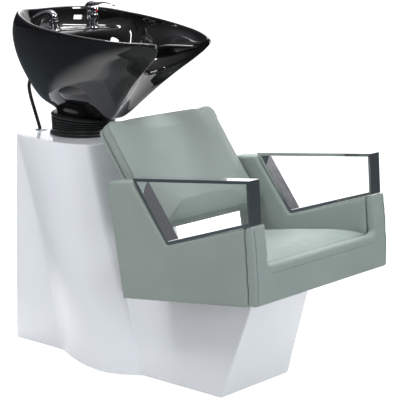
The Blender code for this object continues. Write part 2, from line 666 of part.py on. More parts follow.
def tilt_hinge(basin):
    bracket = add_piece("tilt_bracket", box((-0.090, 0.297, BRACKET_Z[0]),
                                            (0.090, 0.458, BRACKET_Z[1])), STEEL)
    bore = ((PIN_R + GAP, -0.08), (PIN_R + GAP, 0.08))
    for side, sign in (("right", -1), ("left", 1)):
        weld(bracket, prism_x(ear_outline(0.650, 0.018, TILT_Z, 1.0), sign * EAR_LOWER_X[0],
                              sign * EAR_LOWER_X[1]), "lower_ear")
        washer = ((0.013, sign * 0.0528), (0.013, sign * 0.0557),
                  (PIN_R + GAP, sign * 0.0557), (PIN_R + GAP, sign * 0.0528))
        add_piece("friction_washer_" + side,
                  turned((0, BASIN_Y, TILT_Z), washer, 16, hollow=True, normal="X"),
                  BLACK_PLASTIC)
    cut(bracket, turned((0, BASIN_Y, TILT_Z), bore, 16, normal="X"), "pin_bore")
    cut(bracket, box((-0.046, 0.307, 0.62), (0.046, 0.453, 0.67)), "bracket_opening")
    for place, x in BRACKET_BOLTS:
        cut(bracket, turned((x, BRACKET_BOLT_Y, 0.64), ((0.0033, 0), (0.0033, 0.03)), 12),
            "bracket_hole")
        bolt = ((0.0030, -0.014), (0.0030, GAP), (0.0060, GAP), (0.0060, 0.004))
        add_piece("bracket_bolt_" + place,
                  turned((x, BRACKET_BOLT_Y, BRACKET_Z[1]), bolt, 12), ZINC)
    pin = ((0.0085, -0.0670), (0.0085, -0.0613), (PIN_R, -0.0613), (PIN_R, 0.0700))
    add_piece("tilt_pin", turned((0, BASIN_Y, TILT_Z), pin, 16, normal="X"), ZINC)
    nut = ((0.0085, 0.0613), (0.0085, 0.0665), (PIN_R + GAP, 0.0665), (PIN_R + GAP, 0.0613))
    add_piece("tilt_pin_nut", turned((0, BASIN_Y, TILT_Z), nut, 12, hollow=True, normal="X"),
              ZINC)

    for side, sign in (("right", -1), ("left", 1)):
        half_y, thick = 0.022, 0.004
        x_in, x_out = sign * EAR_UPPER_X[0], sign * 0.072
        flange = [(x, y, collar_z(y) - GAP - drop) for drop in (0, thick)
                  for x, y in ((x_in, BASIN_Y - half_y), (x_out, BASIN_Y - half_y),
                               (x_out, BASIN_Y + half_y), (x_in, BASIN_Y + half_y))]
        ear = add_piece("tilt_ear_" + side, loft([flange[:4], flange[4:]]), STEEL, basin)
        web = [(BASIN_Y + 0.016, collar_z(BASIN_Y + 0.016) - 0.002),
               (BASIN_Y - 0.016, collar_z(BASIN_Y - 0.016) - 0.002)]
        for k in range(9):
            a = math.radians(180 + 180 * k / 8)
            web.append((BASIN_Y + 0.016 * math.cos(a), TILT_Z + 0.013 * math.sin(a)))
        weld(ear, prism_x(web, x_in, sign * EAR_UPPER_X[1]), "upper_web")
        cut(ear, turned((0, BASIN_Y, TILT_Z), bore, 16, normal="X"), "ear_bore")
        z = collar_z(BASIN_Y) - GAP - thick
        cut(ear, turned((sign * 0.066, BASIN_Y, z - 0.01), ((0.0028, 0), (0.0028, 0.03)), 12),
            "flange_hole")
        bolt = ((0.0045, -0.0035), (0.0045, -3 * GAP), (0.0025, -3 * GAP), (0.0025, 0.014))
        add_piece("ear_bolt_" + side, turned((sign * 0.066, BASIN_Y, z), bolt, 12), ZINC, basin)


# ---------------------------------------------------------------- basin
def rim_samples(points):
    """Full closed loop through a half rim and its mirror image."""
    half = [spline(points, k / RIM_STEPS) for k in range(RIM_STEPS + 1)]
    half[0].x = 0.0
    half[-1].x = 0.0
    return half + [Vector((-p.x, p.y, p.z)) for p in reversed(half[1:-1])]


def rim_place(k):
    """Position along the rim as a share of the half loop, 0 at the rear and 1 at the notch."""
    return (k if k <= RIM_STEPS else 2 * RIM_STEPS - k) / RIM_STEPS


def collar_points(outer):
    """The ring where the basin's body starts, each point below its own rim point."""
    ring = []
    horn = HORN / (len(RIM_OUTER) - 1)
    for k, p in enumerate(outer):
        t = rim_place(k)
        side = -1.0 if k > RIM_STEPS else 1.0
        angle = math.atan2(p.y - BASIN_Y, abs(p.x))
        if t > horn:
            start = spline(RIM_OUTER, horn)
            at_horn = math.atan2(start.y - BASIN_Y, start.x)
            angle = mix(at_horn, -math.pi / 2, (t - horn) / (1 - horn))
        x, y = side * COLLAR_R * math.cos(angle), BASIN_Y + COLLAR_R * math.sin(angle)
        ring.append(Vector((x, y, collar_z(y))))
    return ring


def body_point(foot, head, t, u):
    """Point on the basin's outside, u from 0 at the collar to 1 at the rim."""
    full = mix(1.0, 0.45, smooth(0.15, 0.36, t)) * (1 - smooth(0.50, 0.74, t))
    keel = smooth(0.45, 0.70, t)
    flat = 0.20 + 0.09 * smooth(0.70, 1.0, t)
    rise = (u - flat) / (1 - flat)
    hinge = 0.5 * (rise + math.sqrt(rise * rise + 0.0020))
    dip = 0.10 * math.exp(-((u - 0.17) / 0.10) ** 2) * min(1.0, u / 0.08)
    across = full * math.sin(math.pi / 2 * (u ** 1.12 - dip)) + (1 - full) * u
    up = full * (1 - math.cos(math.pi / 2 * u)) + (1 - full) * mix(u, hinge, keel)
    out = Vector((head.x - foot.x, head.y - foot.y, 0))
    swell = 0.021 * (1 - smooth(0.2, 0.5, t)) * 12.2 * u ** 4 * (1 - u)
    crease = mix(0.42, 0.90, smooth(0.32, 0.64, t))
    scoop = smooth(0.0, 0.12, crease - u) * smooth(0.0, 0.30, u)
    scoop *= 0.016 * smooth(0.30, 0.42, t) * (1 - smooth(0.74, 0.90, t))
    place = Vector((mix(foot.x, head.x, across), mix(foot.y, head.y, across), 0))
    place += out.normalized() * (swell - scoop)
    place.z = mix(foot.z, head.z, min(up, 1.0))
    return place


BOWL_Y = 0.318                   # centre of the bowl's floor
BOWL_REACH_REAR, BOWL_REACH_FRONT, BOWL_REACH_SIDE = 0.078, 0.180, 0.215


def bowl_share(x, y):
    """How far out in the bowl a point lies: 0 at its centre, 1 at the top of its wall."""
    reach = BOWL_REACH_REAR if y > BOWL_Y else BOWL_REACH_FRONT
    return ((abs(x) / BOWL_REACH_SIDE) ** 2.6 + (abs(y - BOWL_Y) / reach) ** 2.6) ** (1 / 2.6)


def bowl_height(x, y, rim_z, inwards, t):
    """Height of the basin's inside: rim wall, tap deck at the rear, and the bowl."""
    drop = mix(rim_z - TAP_DECK_Z, 0.022, smooth(0.30, 0.46, t))
    top = rim_z - drop * (1 - math.exp(-inwards / 0.009))
    rho = bowl_share(x, y)
    wall = rho ** 4 / (1 + rho ** 16) ** 0.25
    near = math.hypot(x, y - WASTE_Y)
    return mix(BOWL_FLOOR_Z, top, wall * smooth(0.037, 0.062, near))


def inside_stations(rim, waste):
    """Shares of the way from a rim point to the waste at which the inside is sampled."""
    def share_at(v):
        return bowl_share(mix(rim[0], waste[0], v), mix(rim[1], waste[1], v))

    highest = min(1.15, share_at(0.0) * 0.97)
    lowest = share_at(1.0)
    stations = []
    for step in (0.0, 0.12, 0.24, 0.36, 0.50, 0.66, 0.84):
        level = mix(highest, lowest, step)
        lo, hi = 0.0, 1.0
        for _ in range(24):
            middle = (lo + hi) / 2
            if share_at(middle) > level:
                lo = middle
            else:
                hi = middle
        stations.append(hi)
    run = math.hypot(rim[0] - waste[0], rim[1] - waste[1])
    flat = mix(max(stations[-1], 1 - 0.0165 / run), 1.0, 0.02)     # just outside the waste's flange
    return [stations[0] * share for share in (0.18, 0.45, 0.75)] + stations + [flat, 1.0]


def basin_bowl(parent):
    outer, inner = rim_samples(RIM_OUTER), rim_samples(RIM_INNER)
    collar = collar_points(outer)
    count = len(outer)
    place = [rim_place(k) for k in range(count)]
    rings = []
    waste = [(WASTE_HOLE_R * c.x / COLLAR_R, WASTE_Y + WASTE_HOLE_R * (c.y - BASIN_Y) / COLLAR_R)
             for c in collar]
    rings.append([(x, y, collar_z(y)) for x, y in waste])
    for u in (0, 0.08, 0.16, 0.26, 0.36, 0.46, 0.56, 0.66, 0.76, 0.85, 0.93, 1.0):
        rings.append([body_point(collar[k], outer[k], place[k], u) for k in range(count)])
    for share, lift in ((0.12, 0.0028), (0.40, 0.0045), (0.72, 0.0040), (1.0, 0.0)):
        rings.append([mix(outer[k], inner[k], share) + Vector((0, 0, lift))
                      for k in range(count)])
    stations = [inside_stations(inner[k], waste[k]) for k in range(count)]
    for j in range(len(stations[0])):
        ring = []
        for k in range(count):
            x = mix(inner[k].x, waste[k][0], stations[k][j])
            y = mix(inner[k].y, waste[k][1], stations[k][j])
            inwards = math.hypot(x - inner[k].x, y - inner[k].y)
            ring.append((x, y, bowl_height(x, y, inner[k].z, inwards, place[k])))
        rings.append(ring)
    basin = add_piece("basin_bowl", loft(rings, wrap=True), BLACK_CERAMIC, parent)
    cut(basin, service_cavity(), "service_cavity")
    for x, radius in ((MIXER_X, 0.0175), (HANDSET_X, 0.0125)):
        cut(basin, turned((x, TAP_Y, 0.93), ((radius, 0), (radius, 0.10)), 20), "tap_hole")
    port = [[Vector(end) + Vector(p) for p in circle((0, 0, 0), 0.012, 16, "Y")]
            for end in HOSE_PORT]
    cut(basin, loft(port), "hose_port")
    for sign in (-1, 1):
        cut(basin, turned((sign * 0.066, BASIN_Y, 0.70), ((0.0028, 0), (0.0028, 0.05)), 12),
            "insert")


def service_cavity():
    """Space under the tap deck for the tails and hoses, open into the bellows."""
    rings = []
    for z, y, half_x, half_y in ((0.700, 0.434, 0.050, 0.022), (0.772, 0.434, 0.050, 0.022),
                                 (0.806, 0.444, 0.058, 0.031), (0.846, 0.458, 0.090, 0.046),
                                 (0.890, 0.464, 0.130, 0.057), (0.974, 0.464, 0.141, 0.057)):
        ring = []
        for k in range(24):
            a = 2 * math.pi * k / 24
            c, s = math.cos(a), math.sin(a)
            ring.append((math.copysign(half_x * abs(c) ** 0.5, c),
                         y + math.copysign(half_y * abs(s) ** 0.5, s), z))
        rings.append(ring)
    return loft(rings)


# ---------------------------------------------------------------- waste
def waste_parts(basin, strainer):
    floor = BOWL_FLOOR_Z + GAP
    foot = -0.062
    body = ((0.0220, foot), (0.0220, 0.0), (0.0340, 0.0), (0.0330, 0.0022), (0.0270, 0.0026),
            (0.0260, 0.0006), (0.0180, -0.0080), (0.0180, foot))
    add_piece("waste_body", turned((0, WASTE_Y, floor), body, 32, hollow=True), CHROME, basin)
    under = collar_z(WASTE_Y - 0.03) - 0.0012
    nut = ((0.0290, -0.009), (0.0290, 0), (0.0220 + GAP, 0), (0.0220 + GAP, -0.009))
    add_piece("waste_nut", turned((0, WASTE_Y, under), nut, 24, hollow=True), BLACK_PLASTIC, basin)

    cap = ((0.0245, 0.0032), (0.0240, 0.0052), (0.0050, 0.0056), (0.0045, 0.0120),
           (0.0030, 0.0132))
    dish = turned((0, WASTE_Y, floor), cap, 32)
    piece = add_piece("hair_strainer", dish, CHROME, strainer)
    for k in range(8):
        a = math.radians(45 * k)
        spot = (0.0150 * math.cos(a), WASTE_Y + 0.0150 * math.sin(a), floor)
        cut(piece, turned(spot, ((0.0028, 0), (0.0028, 0.02)), 10), "drain_hole")


TRAP_Y, TRAP_TOP_Z = 0.335, 0.400


def trap_parts():
    tail_z = BOWL_FLOOR_Z + GAP - 0.062
    hose("waste_hose", ((0, WASTE_Y, tail_z - GAP), (0, WASTE_Y, tail_z - 0.05),
                        (0, WASTE_Y - 0.003, 0.56), (0, TRAP_Y, 0.48),
                        (0, TRAP_Y, TRAP_TOP_Z + GAP)), 0.0190, WHITE_PLASTIC, sides=3, step=0.04)
    body = ((0.020, 0.0), (0.024, -0.012), (0.024, -0.024), (0.031, -0.030), (0.031, -0.105),
            (0.026, -0.125), (0.012, -0.130))
    add_piece("bottle_trap", turned((0, TRAP_Y, TRAP_TOP_Z), body, 24), WHITE_PLASTIC)
    side_z = TRAP_TOP_Z - 0.055
    start = TRAP_Y - 0.031 - GAP
    hose("waste_outlet_pipe", ((0, start, side_z), (0, start - 0.03, side_z),
                               (0, OUTLET_Y + 0.030, side_z - 0.002),
                               (0, OUTLET_Y + 0.006, side_z - 0.020),
                               (0, OUTLET_Y, side_z - 0.055), (0, OUTLET_Y, 0.15),
                               (0, OUTLET_Y, 0.0005)), 0.0190, WHITE_PLASTIC, sides=3, step=0.02)


# ---------------------------------------------------------------- water supply
VALVE_TOP_Z = 0.150


def supply_parts():
    body = ((0.014, GAP), (0.014, 0.010), (0.009, 0.012), (0.009, 0.085), (0.013, 0.088),
            (0.013, 0.120), (0.008, 0.124), (0.008, VALVE_TOP_Z - FLOOR_PLATE_Z))
    for name, sign in (("hot_supply_valve", -1), ("cold_supply_valve", 1)):
        add_piece(name, turned((sign * SUPPLY_X, SUPPLY_Y, FLOOR_PLATE_Z), body, 16), BRASS)
    for name, sign in (("hot_supply_hose", -1), ("cold_supply_hose", 1)):
        x_valve, x_mouth = sign * SUPPLY_X, sign * 0.028
        hose(name, ((x_valve, SUPPLY_Y, VALVE_TOP_Z + GAP), (x_valve, SUPPLY_Y, 0.25),
                    (x_valve * 0.9, 0.455, 0.40), (x_mouth * 1.1, 0.440, 0.56),
                    (x_mouth, 0.434, 0.66), (x_mouth, 0.434, 0.76),
                    (mix(x_mouth, MIXER_X + sign * 0.009, 0.35), 0.437, 0.83),
                    (mix(x_mouth, MIXER_X + sign * 0.009, 0.9), 0.440, 0.90),
                    (MIXER_X + sign * 0.009, TAP_Y + 0.004, 0.945)),
             0.0052, BRAID, sides=2, step=0.022)


MIXED_TAIL = (MIXER_X, TAP_Y - 0.011, 0.945)
HANDSET_TAIL_Z = 0.882
# shower hose: handset tail, round the back of the basin, gland, a loop in the base, mixer
SHOWER_ROUTE = ((HANDSET_X, TAP_Y, HANDSET_TAIL_Z - 0.0012), (HANDSET_X, TAP_Y, 0.856),
                (-0.058, 0.450, 0.841), (-0.052, 0.478, 0.849), (-0.0465, 0.510, 0.8618),
                (-0.045, 0.5565, 0.840), (-0.045, 0.572, 0.812), (-0.045, 0.567, 0.778),
                (-0.045, 0.550, 0.735), (-0.0435, 0.5275, 0.675), (-0.042, 0.515, 0.625),
                (-0.036, 0.512, 0.520), (-0.028, 0.520, 0.420), (-0.022, 0.515, 0.345),
                (-0.012, 0.485, 0.300), (-0.004, 0.450, 0.335), (0.0, 0.436, 0.420),
                (0.0, 0.434, 0.540), (0.0, 0.434, 0.660), (0.0, 0.434, 0.750),
                (0.022, 0.436, 0.810), (0.070, 0.430, 0.870), (0.103, 0.4262, 0.920),
                MIXED_TAIL)


def shower_hose():
    hose("shower_hose", SHOWER_ROUTE, HOSE_R, BLACK_RUBBER, sides=2, step=0.026)
    gland = ((0.0205, GAP), (0.0200, 0.0026), (0.0150, 0.0040), (0.0125, 0.0040),
             (0.0125, -0.010), (0.0140, -0.010), (0.0140, GAP))
    add_piece("hose_gland", turned((*GLAND_XY, DECK_Z), gland, 28, hollow=True), CHROME)


# ---------------------------------------------------------------- taps
def mixer(basin, head, lever):
    deck = mixer_deck_z(MIXER_X)
    flange = ((0.0245, 0.0006), (0.0235, 0.0040), (0.0195, 0.0050), (0.0195, 0.0006))
    add_piece("mixer_flange", turned((MIXER_X, TAP_Y, deck), flange, 28, hollow=True), CHROME,
              basin)
    body = ((0.0160, -0.036), (0.0160, 0.0010), (0.0190, 0.0015), (0.0190, 0.0400),
            (0.0175, 0.0440), (0.0120, 0.0450))
    add_piece("mixer_body", turned((MIXER_X, TAP_Y, deck), body, 28), CHROME, basin)
    nut = ((0.0210, -0.030), (0.0210, -0.022), (0.0160 + GAP, -0.022), (0.0160 + GAP, -0.030))
    add_piece("mixer_fixing_nut", turned((MIXER_X, TAP_Y, deck), nut, 24, hollow=True), BRASS,
              basin)

    base = deck + 0.0453
    cap = ((0.0120, 0.0003), (0.0185, 0.0012), (0.0190, 0.0030), (0.0190, 0.0150),
           (0.0175, 0.0200))
    add_piece("mixer_head", turned((MIXER_X, TAP_Y, base), cap, 28), CHROME, head)
    dot = ((0.0040, -GAP), (0.0040, -0.0012), (0.0030, -0.0018))
    add_piece("index_button", turned((MIXER_X, TAP_Y - 0.0190, base + 0.009), dot, 16,
                                     normal="Y"), RED_PLASTIC, head)
    add_piece("mixer_lever", lever_shape(base + 0.0203), CHROME, lever)


def mixer_deck_z(x):
    """Height at which a tap stands on the deck."""
    return TAP_DECK_Z + 0.0012


def lever_shape(z):
    """Cap block and a paddle that arches forward and ends in a flattened tip."""
    rings = []
    stations = ((0.018, 0.000, 0.0165, 0.0010), (0.010, 0.001, 0.0185, 0.0140),
                (-0.004, 0.002, 0.0185, 0.0175), (-0.018, 0.004, 0.0150, 0.0140),
                (-0.034, 0.010, 0.0085, 0.0070), (-0.054, 0.0135, 0.0070, 0.0052),
                (-0.074, 0.0125, 0.0080, 0.0048), (-0.090, 0.0090, 0.0085, 0.0045),
                (-0.098, 0.0065, 0.0055, 0.0030))
    for y, rise, half, thick in stations:
        ring = []
        for k in range(12):
            a = 2 * math.pi * k / 12
            ring.append((MIXER_X + half * math.cos(a), TAP_Y + y,
                         z + rise + thick * 0.5 + thick * 0.5 * math.sin(a)))
        rings.append(ring)
    return loft(rings)


def handset_parts(basin, handset):
    deck = mixer_deck_z(HANDSET_X)
    holder = ((0.0100, -0.034), (0.0115, -0.034), (0.0115, 0.0006), (0.0200, 0.0006),
              (0.0195, 0.0040), (0.0150, 0.0060), (0.0145, 0.0300), (0.0140, 0.0325),
              (0.0125, 0.0330), (0.0100, 0.0200))
    add_piece("handset_holder", turned((HANDSET_X, TAP_Y, deck), holder, 28, hollow=True),
              CHROME, basin)
    cone_top = deck + 0.0345
    cone = ((0.0062, -0.030), (0.0082, -0.012), (0.0092, 0.0), (0.0125, 0.0), (0.0125, 0.006),
            (0.0062, 0.006))
    add_piece("hose_nut", turned((HANDSET_X, TAP_Y, cone_top), cone, 24, hollow=True), CHROME,
              handset)
    tail_top = cone_top + 0.004
    tail = ((HOSE_R, HANDSET_TAIL_Z - tail_top), (HOSE_R, 0.0))
    add_piece("handset_hose_tail", turned((HANDSET_X, TAP_Y, tail_top), tail, 12), BLACK_RUBBER,
              handset)
    add_piece("handset_body", handset_shape(cone_top + 0.006 + GAP), CHROME, handset)
    face = handset_face(cone_top + 0.006 + GAP)
    add_piece("spray_face", face, BLACK_PLASTIC, handset)


HANDSET_BEND = ((0.0000, 0.0000, 0.0105, 90), (0.0015, 0.0050, 0.0115, 70),
                (0.0065, 0.0095, 0.0115, 40), (0.0150, 0.0118, 0.0112, 8),
                (0.0300, 0.0100, 0.0115, -12), (0.0480, 0.0040, 0.0135, -22),
                (0.0650, -0.0045, 0.0170, -32), (0.0780, -0.0145, 0.0195, -40),
                (0.0815, -0.0175, 0.0195, -40))


def bend_ring(z, y_off, rise, radius, direction, count=20):
    """A ring square to the handset's bent centre line, which runs rearwards from its neck."""
    a = math.radians(direction)
    across = Vector((0, -math.sin(a), math.cos(a)))
    centre = Vector((HANDSET_X, TAP_Y + y_off, z + rise))
    ring = []
    for k in range(count):
        b = 2 * math.pi * k / count
        ring.append(centre + Vector((1, 0, 0)) * (radius * math.cos(b))
                    + across * (radius * math.sin(b)))
    return ring


def handset_shape(z):
    return loft([bend_ring(z, *station) for station in HANDSET_BEND])


def handset_face(z):
    """Perforated disc in the mouth of the handset."""
    y_off, rise, radius, direction = HANDSET_BEND[-1]
    a = math.radians(direction)
    along = Vector((0, math.cos(a), math.sin(a)))
    rings = []
    for step, size in ((GAP, radius * 0.92), (0.0020, radius * 0.92), (0.0028, radius * 0.80)):
        rings.append([p + along * step for p in bend_ring(z, y_off, rise, size, direction)])
    return loft(rings)


# ---------------------------------------------------------------- assembly
def build():
    base_shell()
    access_panel()
    steel_frame()
    seat()
    front_panel()
    side_panel("side_panel_right", -1)
    side_panel("side_panel_left", 1)
    backrest()
    arm_frame("arm_frame_right", -1)
    arm_frame("arm_frame_left", 1)
    bellows()

    tilt = axis_empty("basin_tilt_axis", (0, BASIN_Y, TILT_Z))
    head = axis_empty("mixer_swivel_axis", (MIXER_X, TAP_Y, TAP_DECK_Z + 0.05), tilt)
    lever = axis_empty("lever_lift_axis", (MIXER_X, TAP_Y + 0.0185, TAP_DECK_Z + 0.0668), head)
    handset = axis_empty("handset_lift_axis", (HANDSET_X, TAP_Y, TAP_DECK_Z), tilt)
    strainer = axis_empty("strainer_lift_axis", (0, WASTE_Y, BOWL_FLOOR_Z), tilt)
    tilt_hinge(tilt)
    basin_bowl(tilt)
    waste_parts(tilt, strainer)
    trap_parts()
    supply_parts()
    shower_hose()
    mixer(tilt, head, lever)
    handset_parts(tilt, handset)


build()
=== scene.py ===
"""Looks of the shampoo backwash unit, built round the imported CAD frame. Metres, +Z up.

The client faces -Y, their right hand side is -X, X = 0 is the symmetry plane.
"""
import math

import bmesh
import bpy
import numpy as np
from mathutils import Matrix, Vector
from mathutils.bvhtree import BVHTree
from mathutils.kdtree import KDTree

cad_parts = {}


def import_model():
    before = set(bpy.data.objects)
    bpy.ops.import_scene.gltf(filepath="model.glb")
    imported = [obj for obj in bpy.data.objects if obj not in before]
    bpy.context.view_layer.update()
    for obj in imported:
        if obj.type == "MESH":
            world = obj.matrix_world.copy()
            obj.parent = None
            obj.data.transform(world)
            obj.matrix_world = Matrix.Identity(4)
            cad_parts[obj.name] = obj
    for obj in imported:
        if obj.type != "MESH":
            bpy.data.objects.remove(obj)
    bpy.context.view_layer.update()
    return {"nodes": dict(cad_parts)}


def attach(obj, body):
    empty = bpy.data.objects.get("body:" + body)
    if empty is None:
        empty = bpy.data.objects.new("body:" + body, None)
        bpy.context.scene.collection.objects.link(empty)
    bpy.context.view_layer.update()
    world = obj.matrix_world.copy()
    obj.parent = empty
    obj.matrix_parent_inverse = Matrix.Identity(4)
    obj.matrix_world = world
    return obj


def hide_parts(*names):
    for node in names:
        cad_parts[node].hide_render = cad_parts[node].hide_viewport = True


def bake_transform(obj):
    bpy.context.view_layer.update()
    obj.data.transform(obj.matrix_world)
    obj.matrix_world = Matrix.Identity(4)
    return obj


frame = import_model()
NODES = frame["nodes"]
SCENE = bpy.context.scene

GAP = 0.0003
TUBE_SHARP_DEG = 60
DECK_Z = 0.672
BASIN_Y = 0.375
COLLAR_R, COLLAR_Z, COLLAR_SLOPE = 0.080, 0.735, 0.105
WASTE_Y, WASTE_HOLE_R, BOWL_FLOOR_Z = 0.328, 0.024, 0.768
TAP_DECK_Z, TAP_Y = 0.988, 0.437
MIXER_X, HANDSET_X = 0.106, -0.060
BELLOWS_FOOT_Z = 0.6846


# ---------------- camera
CAMERA_AZIMUTH, CAMERA_ELEVATION = math.radians(-48.85), math.radians(11.73)
CAMERA_TARGET, CAMERA_DISTANCE = Vector((0.0, -0.107, 0.52357)), 4.3629
CAMERA_LENS, CAMERA_SENSOR = 133.83, 36.0


def put_in_scene(obj, place, ahead):
    SCENE.collection.objects.link(obj)
    obj.location = place
    obj.rotation_mode = "QUATERNION"
    obj.rotation_quaternion = ahead.to_track_quat("-Z", "Y")


def make_camera():
    """The photograph's viewing angle: a long lens from the front right of the client."""
    flat = math.cos(CAMERA_ELEVATION)
    back = Vector((math.sin(CAMERA_AZIMUTH) * flat, -math.cos(CAMERA_AZIMUTH) * flat,
                   math.sin(CAMERA_ELEVATION)))
    data = bpy.data.cameras.new("camera")
    data.lens, data.sensor_width = CAMERA_LENS, CAMERA_SENSOR
    SCENE.camera = bpy.data.objects.new("camera", data)
    put_in_scene(SCENE.camera, CAMERA_TARGET + back * CAMERA_DISTANCE, -back)


make_camera()


# ---------------- small maths
def mix(a, b, t):
    return a + (b - a) * t


def squarish(a, power):
    """Point at angle a on a unit circle pushed out towards its square."""
    return [math.copysign(abs(v) ** power, v) for v in (math.cos(a), math.sin(a))]


def turns(count):
    return [2 * math.pi * k / count for k in range(count)]


def smooth(lo, hi, value):
    t = min(max((value - lo) / (hi - lo), 0.0), 1.0)
    return t * t * (3 - 2 * t)


def spline(points, t):
    """Point on the Catmull-Rom curve through points, t from 0 to 1."""
    last = len(points) - 1
    i = min(int(t * last), last - 1)
    f = t * last - i
    p1, p2 = Vector(points[i]), Vector(points[i + 1])
    p0 = Vector(points[i - 1]) if i > 0 else 2 * p1 - p2
    p3 = Vector(points[i + 2]) if i + 2 <= last else 2 * p2 - p1
    return 0.5 * (2 * p1 + (p2 - p0) * f + (2 * p0 - 5 * p1 + 4 * p2 - p3) * f * f
                  + (3 * p1 - p0 - 3 * p2 + p3) * f ** 3)


def even_route(points, step, samples=900):
    """Points about a step apart along the smooth curve through points."""
    fine = [spline(points, k / samples) for k in range(samples + 1)]
    route, travelled = [fine[0]], 0.0
    for a, b in zip(fine, fine[1:]):
        travelled += (b - a).length
        if travelled >= step:
            route.append(b)
            travelled = 0.0
    if (fine[-1] - route[-1]).length < step * 0.5:
        route.pop()
    route.append(fine[-1])
    return route


def inset(outline, distance, least=0.4):
    """Move a closed 2-D outline inwards; least limits how far a sharp corner moves."""
    area = sum(a[0] * b[1] - b[0] * a[1] for a, b in zip(outline, outline[1:] + outline[:1]))
    side = 1.0 if area > 0 else -1.0
    moved = []
    for i, here in enumerate(outline):
        here = Vector(here)
        d1 = (here - Vector(outline[i - 1])).normalized()
        d2 = (Vector(outline[(i + 1) % len(outline)]) - here).normalized()
        n1, n2 = Vector((-d1.y, d1.x)) * side, Vector((-d2.y, d2.x)) * side
        corner = (n1 + n2).normalized()
        moved.append(here + corner * (distance / max(corner.dot(n1), least)))
    return [(p.x, p.y) for p in moved]


# ---------------- mesh helpers
def mesh_object(name, bm):
    bmesh.ops.recalc_face_normals(bm, faces=bm.faces)
    mesh = bpy.data.meshes.new(name)
    bm.to_mesh(mesh)
    bm.free()
    obj = bpy.data.objects.new(name, mesh)
    SCENE.collection.objects.link(obj)
    return obj


def dress(obj, mat, sharp_deg):
    mesh = obj.data
    mesh.materials.clear()
    mesh.materials.append(mat)
    mesh.shade_smooth()
    if sharp_deg:
        mesh.set_sharp_from_angle(angle=math.radians(sharp_deg))


def piece(name, bm, mat, sharp_deg=35.0):
    obj = mesh_object(name, bm)
    dress(obj, mat, sharp_deg)
    return obj


def stands_for(obj, node, body=None):
    """Say what CAD node a piece replaces, and the body it rides on."""
    if body:
        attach(obj, body)
    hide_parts(node)


def flexes(obj, node):
    """Keep a piece fixed where it is, in place of a CAD node."""
    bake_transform(obj)
    stands_for(obj, node)


def loft(rings, wrap=False, bm=None):
    """Skin over rings of points; it ends in two caps, or joins its own start if wrapped."""
    bm = bm or bmesh.new()
    rows = [[bm.verts.new(p) for p in ring] for ring in rings]
    pairs = list(zip(rows, rows[1:]))
    if wrap:
        pairs.append((rows[-1], rows[0]))
    for low, high in pairs:
        for i in range(len(low)):
            j = (i + 1) % len(low)
            bm.faces.new((low[i], low[j], high[j], high[i]))
    if not wrap:
        bm.faces.new(rows[0])
        bm.faces.new(rows[-1])
    return bm


def circle(centre, radius, count, normal="Z"):
    ring = []
    for a in turns(count):
        u, v = radius * math.cos(a), radius * math.sin(a)
        ring.append(Vector(centre) + Vector((u, v, 0) if normal == "Z" else (v, 0, u)))
    return ring


def hoop(centre, side, other, radius, count):
    """A circle of points in the plane of two unit vectors."""
    return [centre + (side * math.cos(a) + other * math.sin(a)) * radius
            for a in turns(count)]


def turned(centre, profile, count, hollow=False, normal="Z"):
    """Solid of revolution about Z or Y; the profile is (radius, distance along the axis)."""
    axis = Vector((0, 0, 1) if normal == "Z" else (0, 1, 0))
    rings = [circle(Vector(centre) + axis * h, r, count, normal) for r, h in profile]
    return loft(rings, wrap=hollow)


def drilled(obj, centre, radius, depth, count, normal="Z"):
    tool(obj, turned(centre, ((radius, 0), (radius, depth)), count, normal=normal))


def block(lo, hi):
    bm = bmesh.new()
    bmesh.ops.create_cube(bm, size=1.0)
    bmesh.ops.scale(bm, vec=Vector(hi) - Vector(lo), verts=bm.verts)
    bmesh.ops.translate(bm, vec=(Vector(lo) + Vector(hi)) / 2, verts=bm.verts)
    return bm


def tool(obj, bm, operation="DIFFERENCE"):
    """Queue an exact Boolean of a bmesh on an object; settle() carries it out."""
    helper = mesh_object("tool", bm)
    mod = obj.modifiers.new("tool", "BOOLEAN")
    mod.operation, mod.solver, mod.object = operation, "EXACT", helper
    return helper


def bevel(obj, width, segments, angle_deg=40):
    mod = obj.modifiers.new("edges", "BEVEL")
    mod.width, mod.segments = width, segments
    mod.limit_method, mod.angle_limit = "ANGLE", math.radians(angle_deg)


def settle(obj, sharp_deg):
    """Turn an object's modifiers into plain mesh and drop the helpers they used."""
    graph = bpy.context.evaluated_depsgraph_get()
    graph.update()
    mat = obj.data.materials[0]
    mesh = bpy.data.meshes.new_from_object(obj.evaluated_get(graph))
    helpers = [m.object for m in obj.modifiers if m.type == "BOOLEAN"]
    obj.modifiers.clear()
    obj.data = mesh
    for helper in helpers:
        bpy.data.objects.remove(helper)
    mesh.polygons.foreach_set("material_index", np.zeros(len(mesh.polygons), np.int32))
    dress(obj, mat, sharp_deg)


def subdivide(obj, sharp_deg=0):
    mod = obj.modifiers.new("finer", "SUBSURF")
    mod.levels = mod.render_levels = 1
    settle(obj, sharp_deg)


def vectors_of(mesh, kind="co"):
    """A mesh's points, or their normals, as rows of an array."""
    flat = np.empty(len(mesh.vertices) * 3)
    mesh.vertices.foreach_get(kind, flat)
    return flat.reshape(-1, 3)


def points_of(obj):
    return vectors_of(obj.data)


def normals_of(obj):
    return vectors_of(obj.data, "normal")


def put_points(obj, points):
    obj.data.vertices.foreach_set("co", np.ascontiguousarray(points, float).reshape(-1))
    obj.data.update()


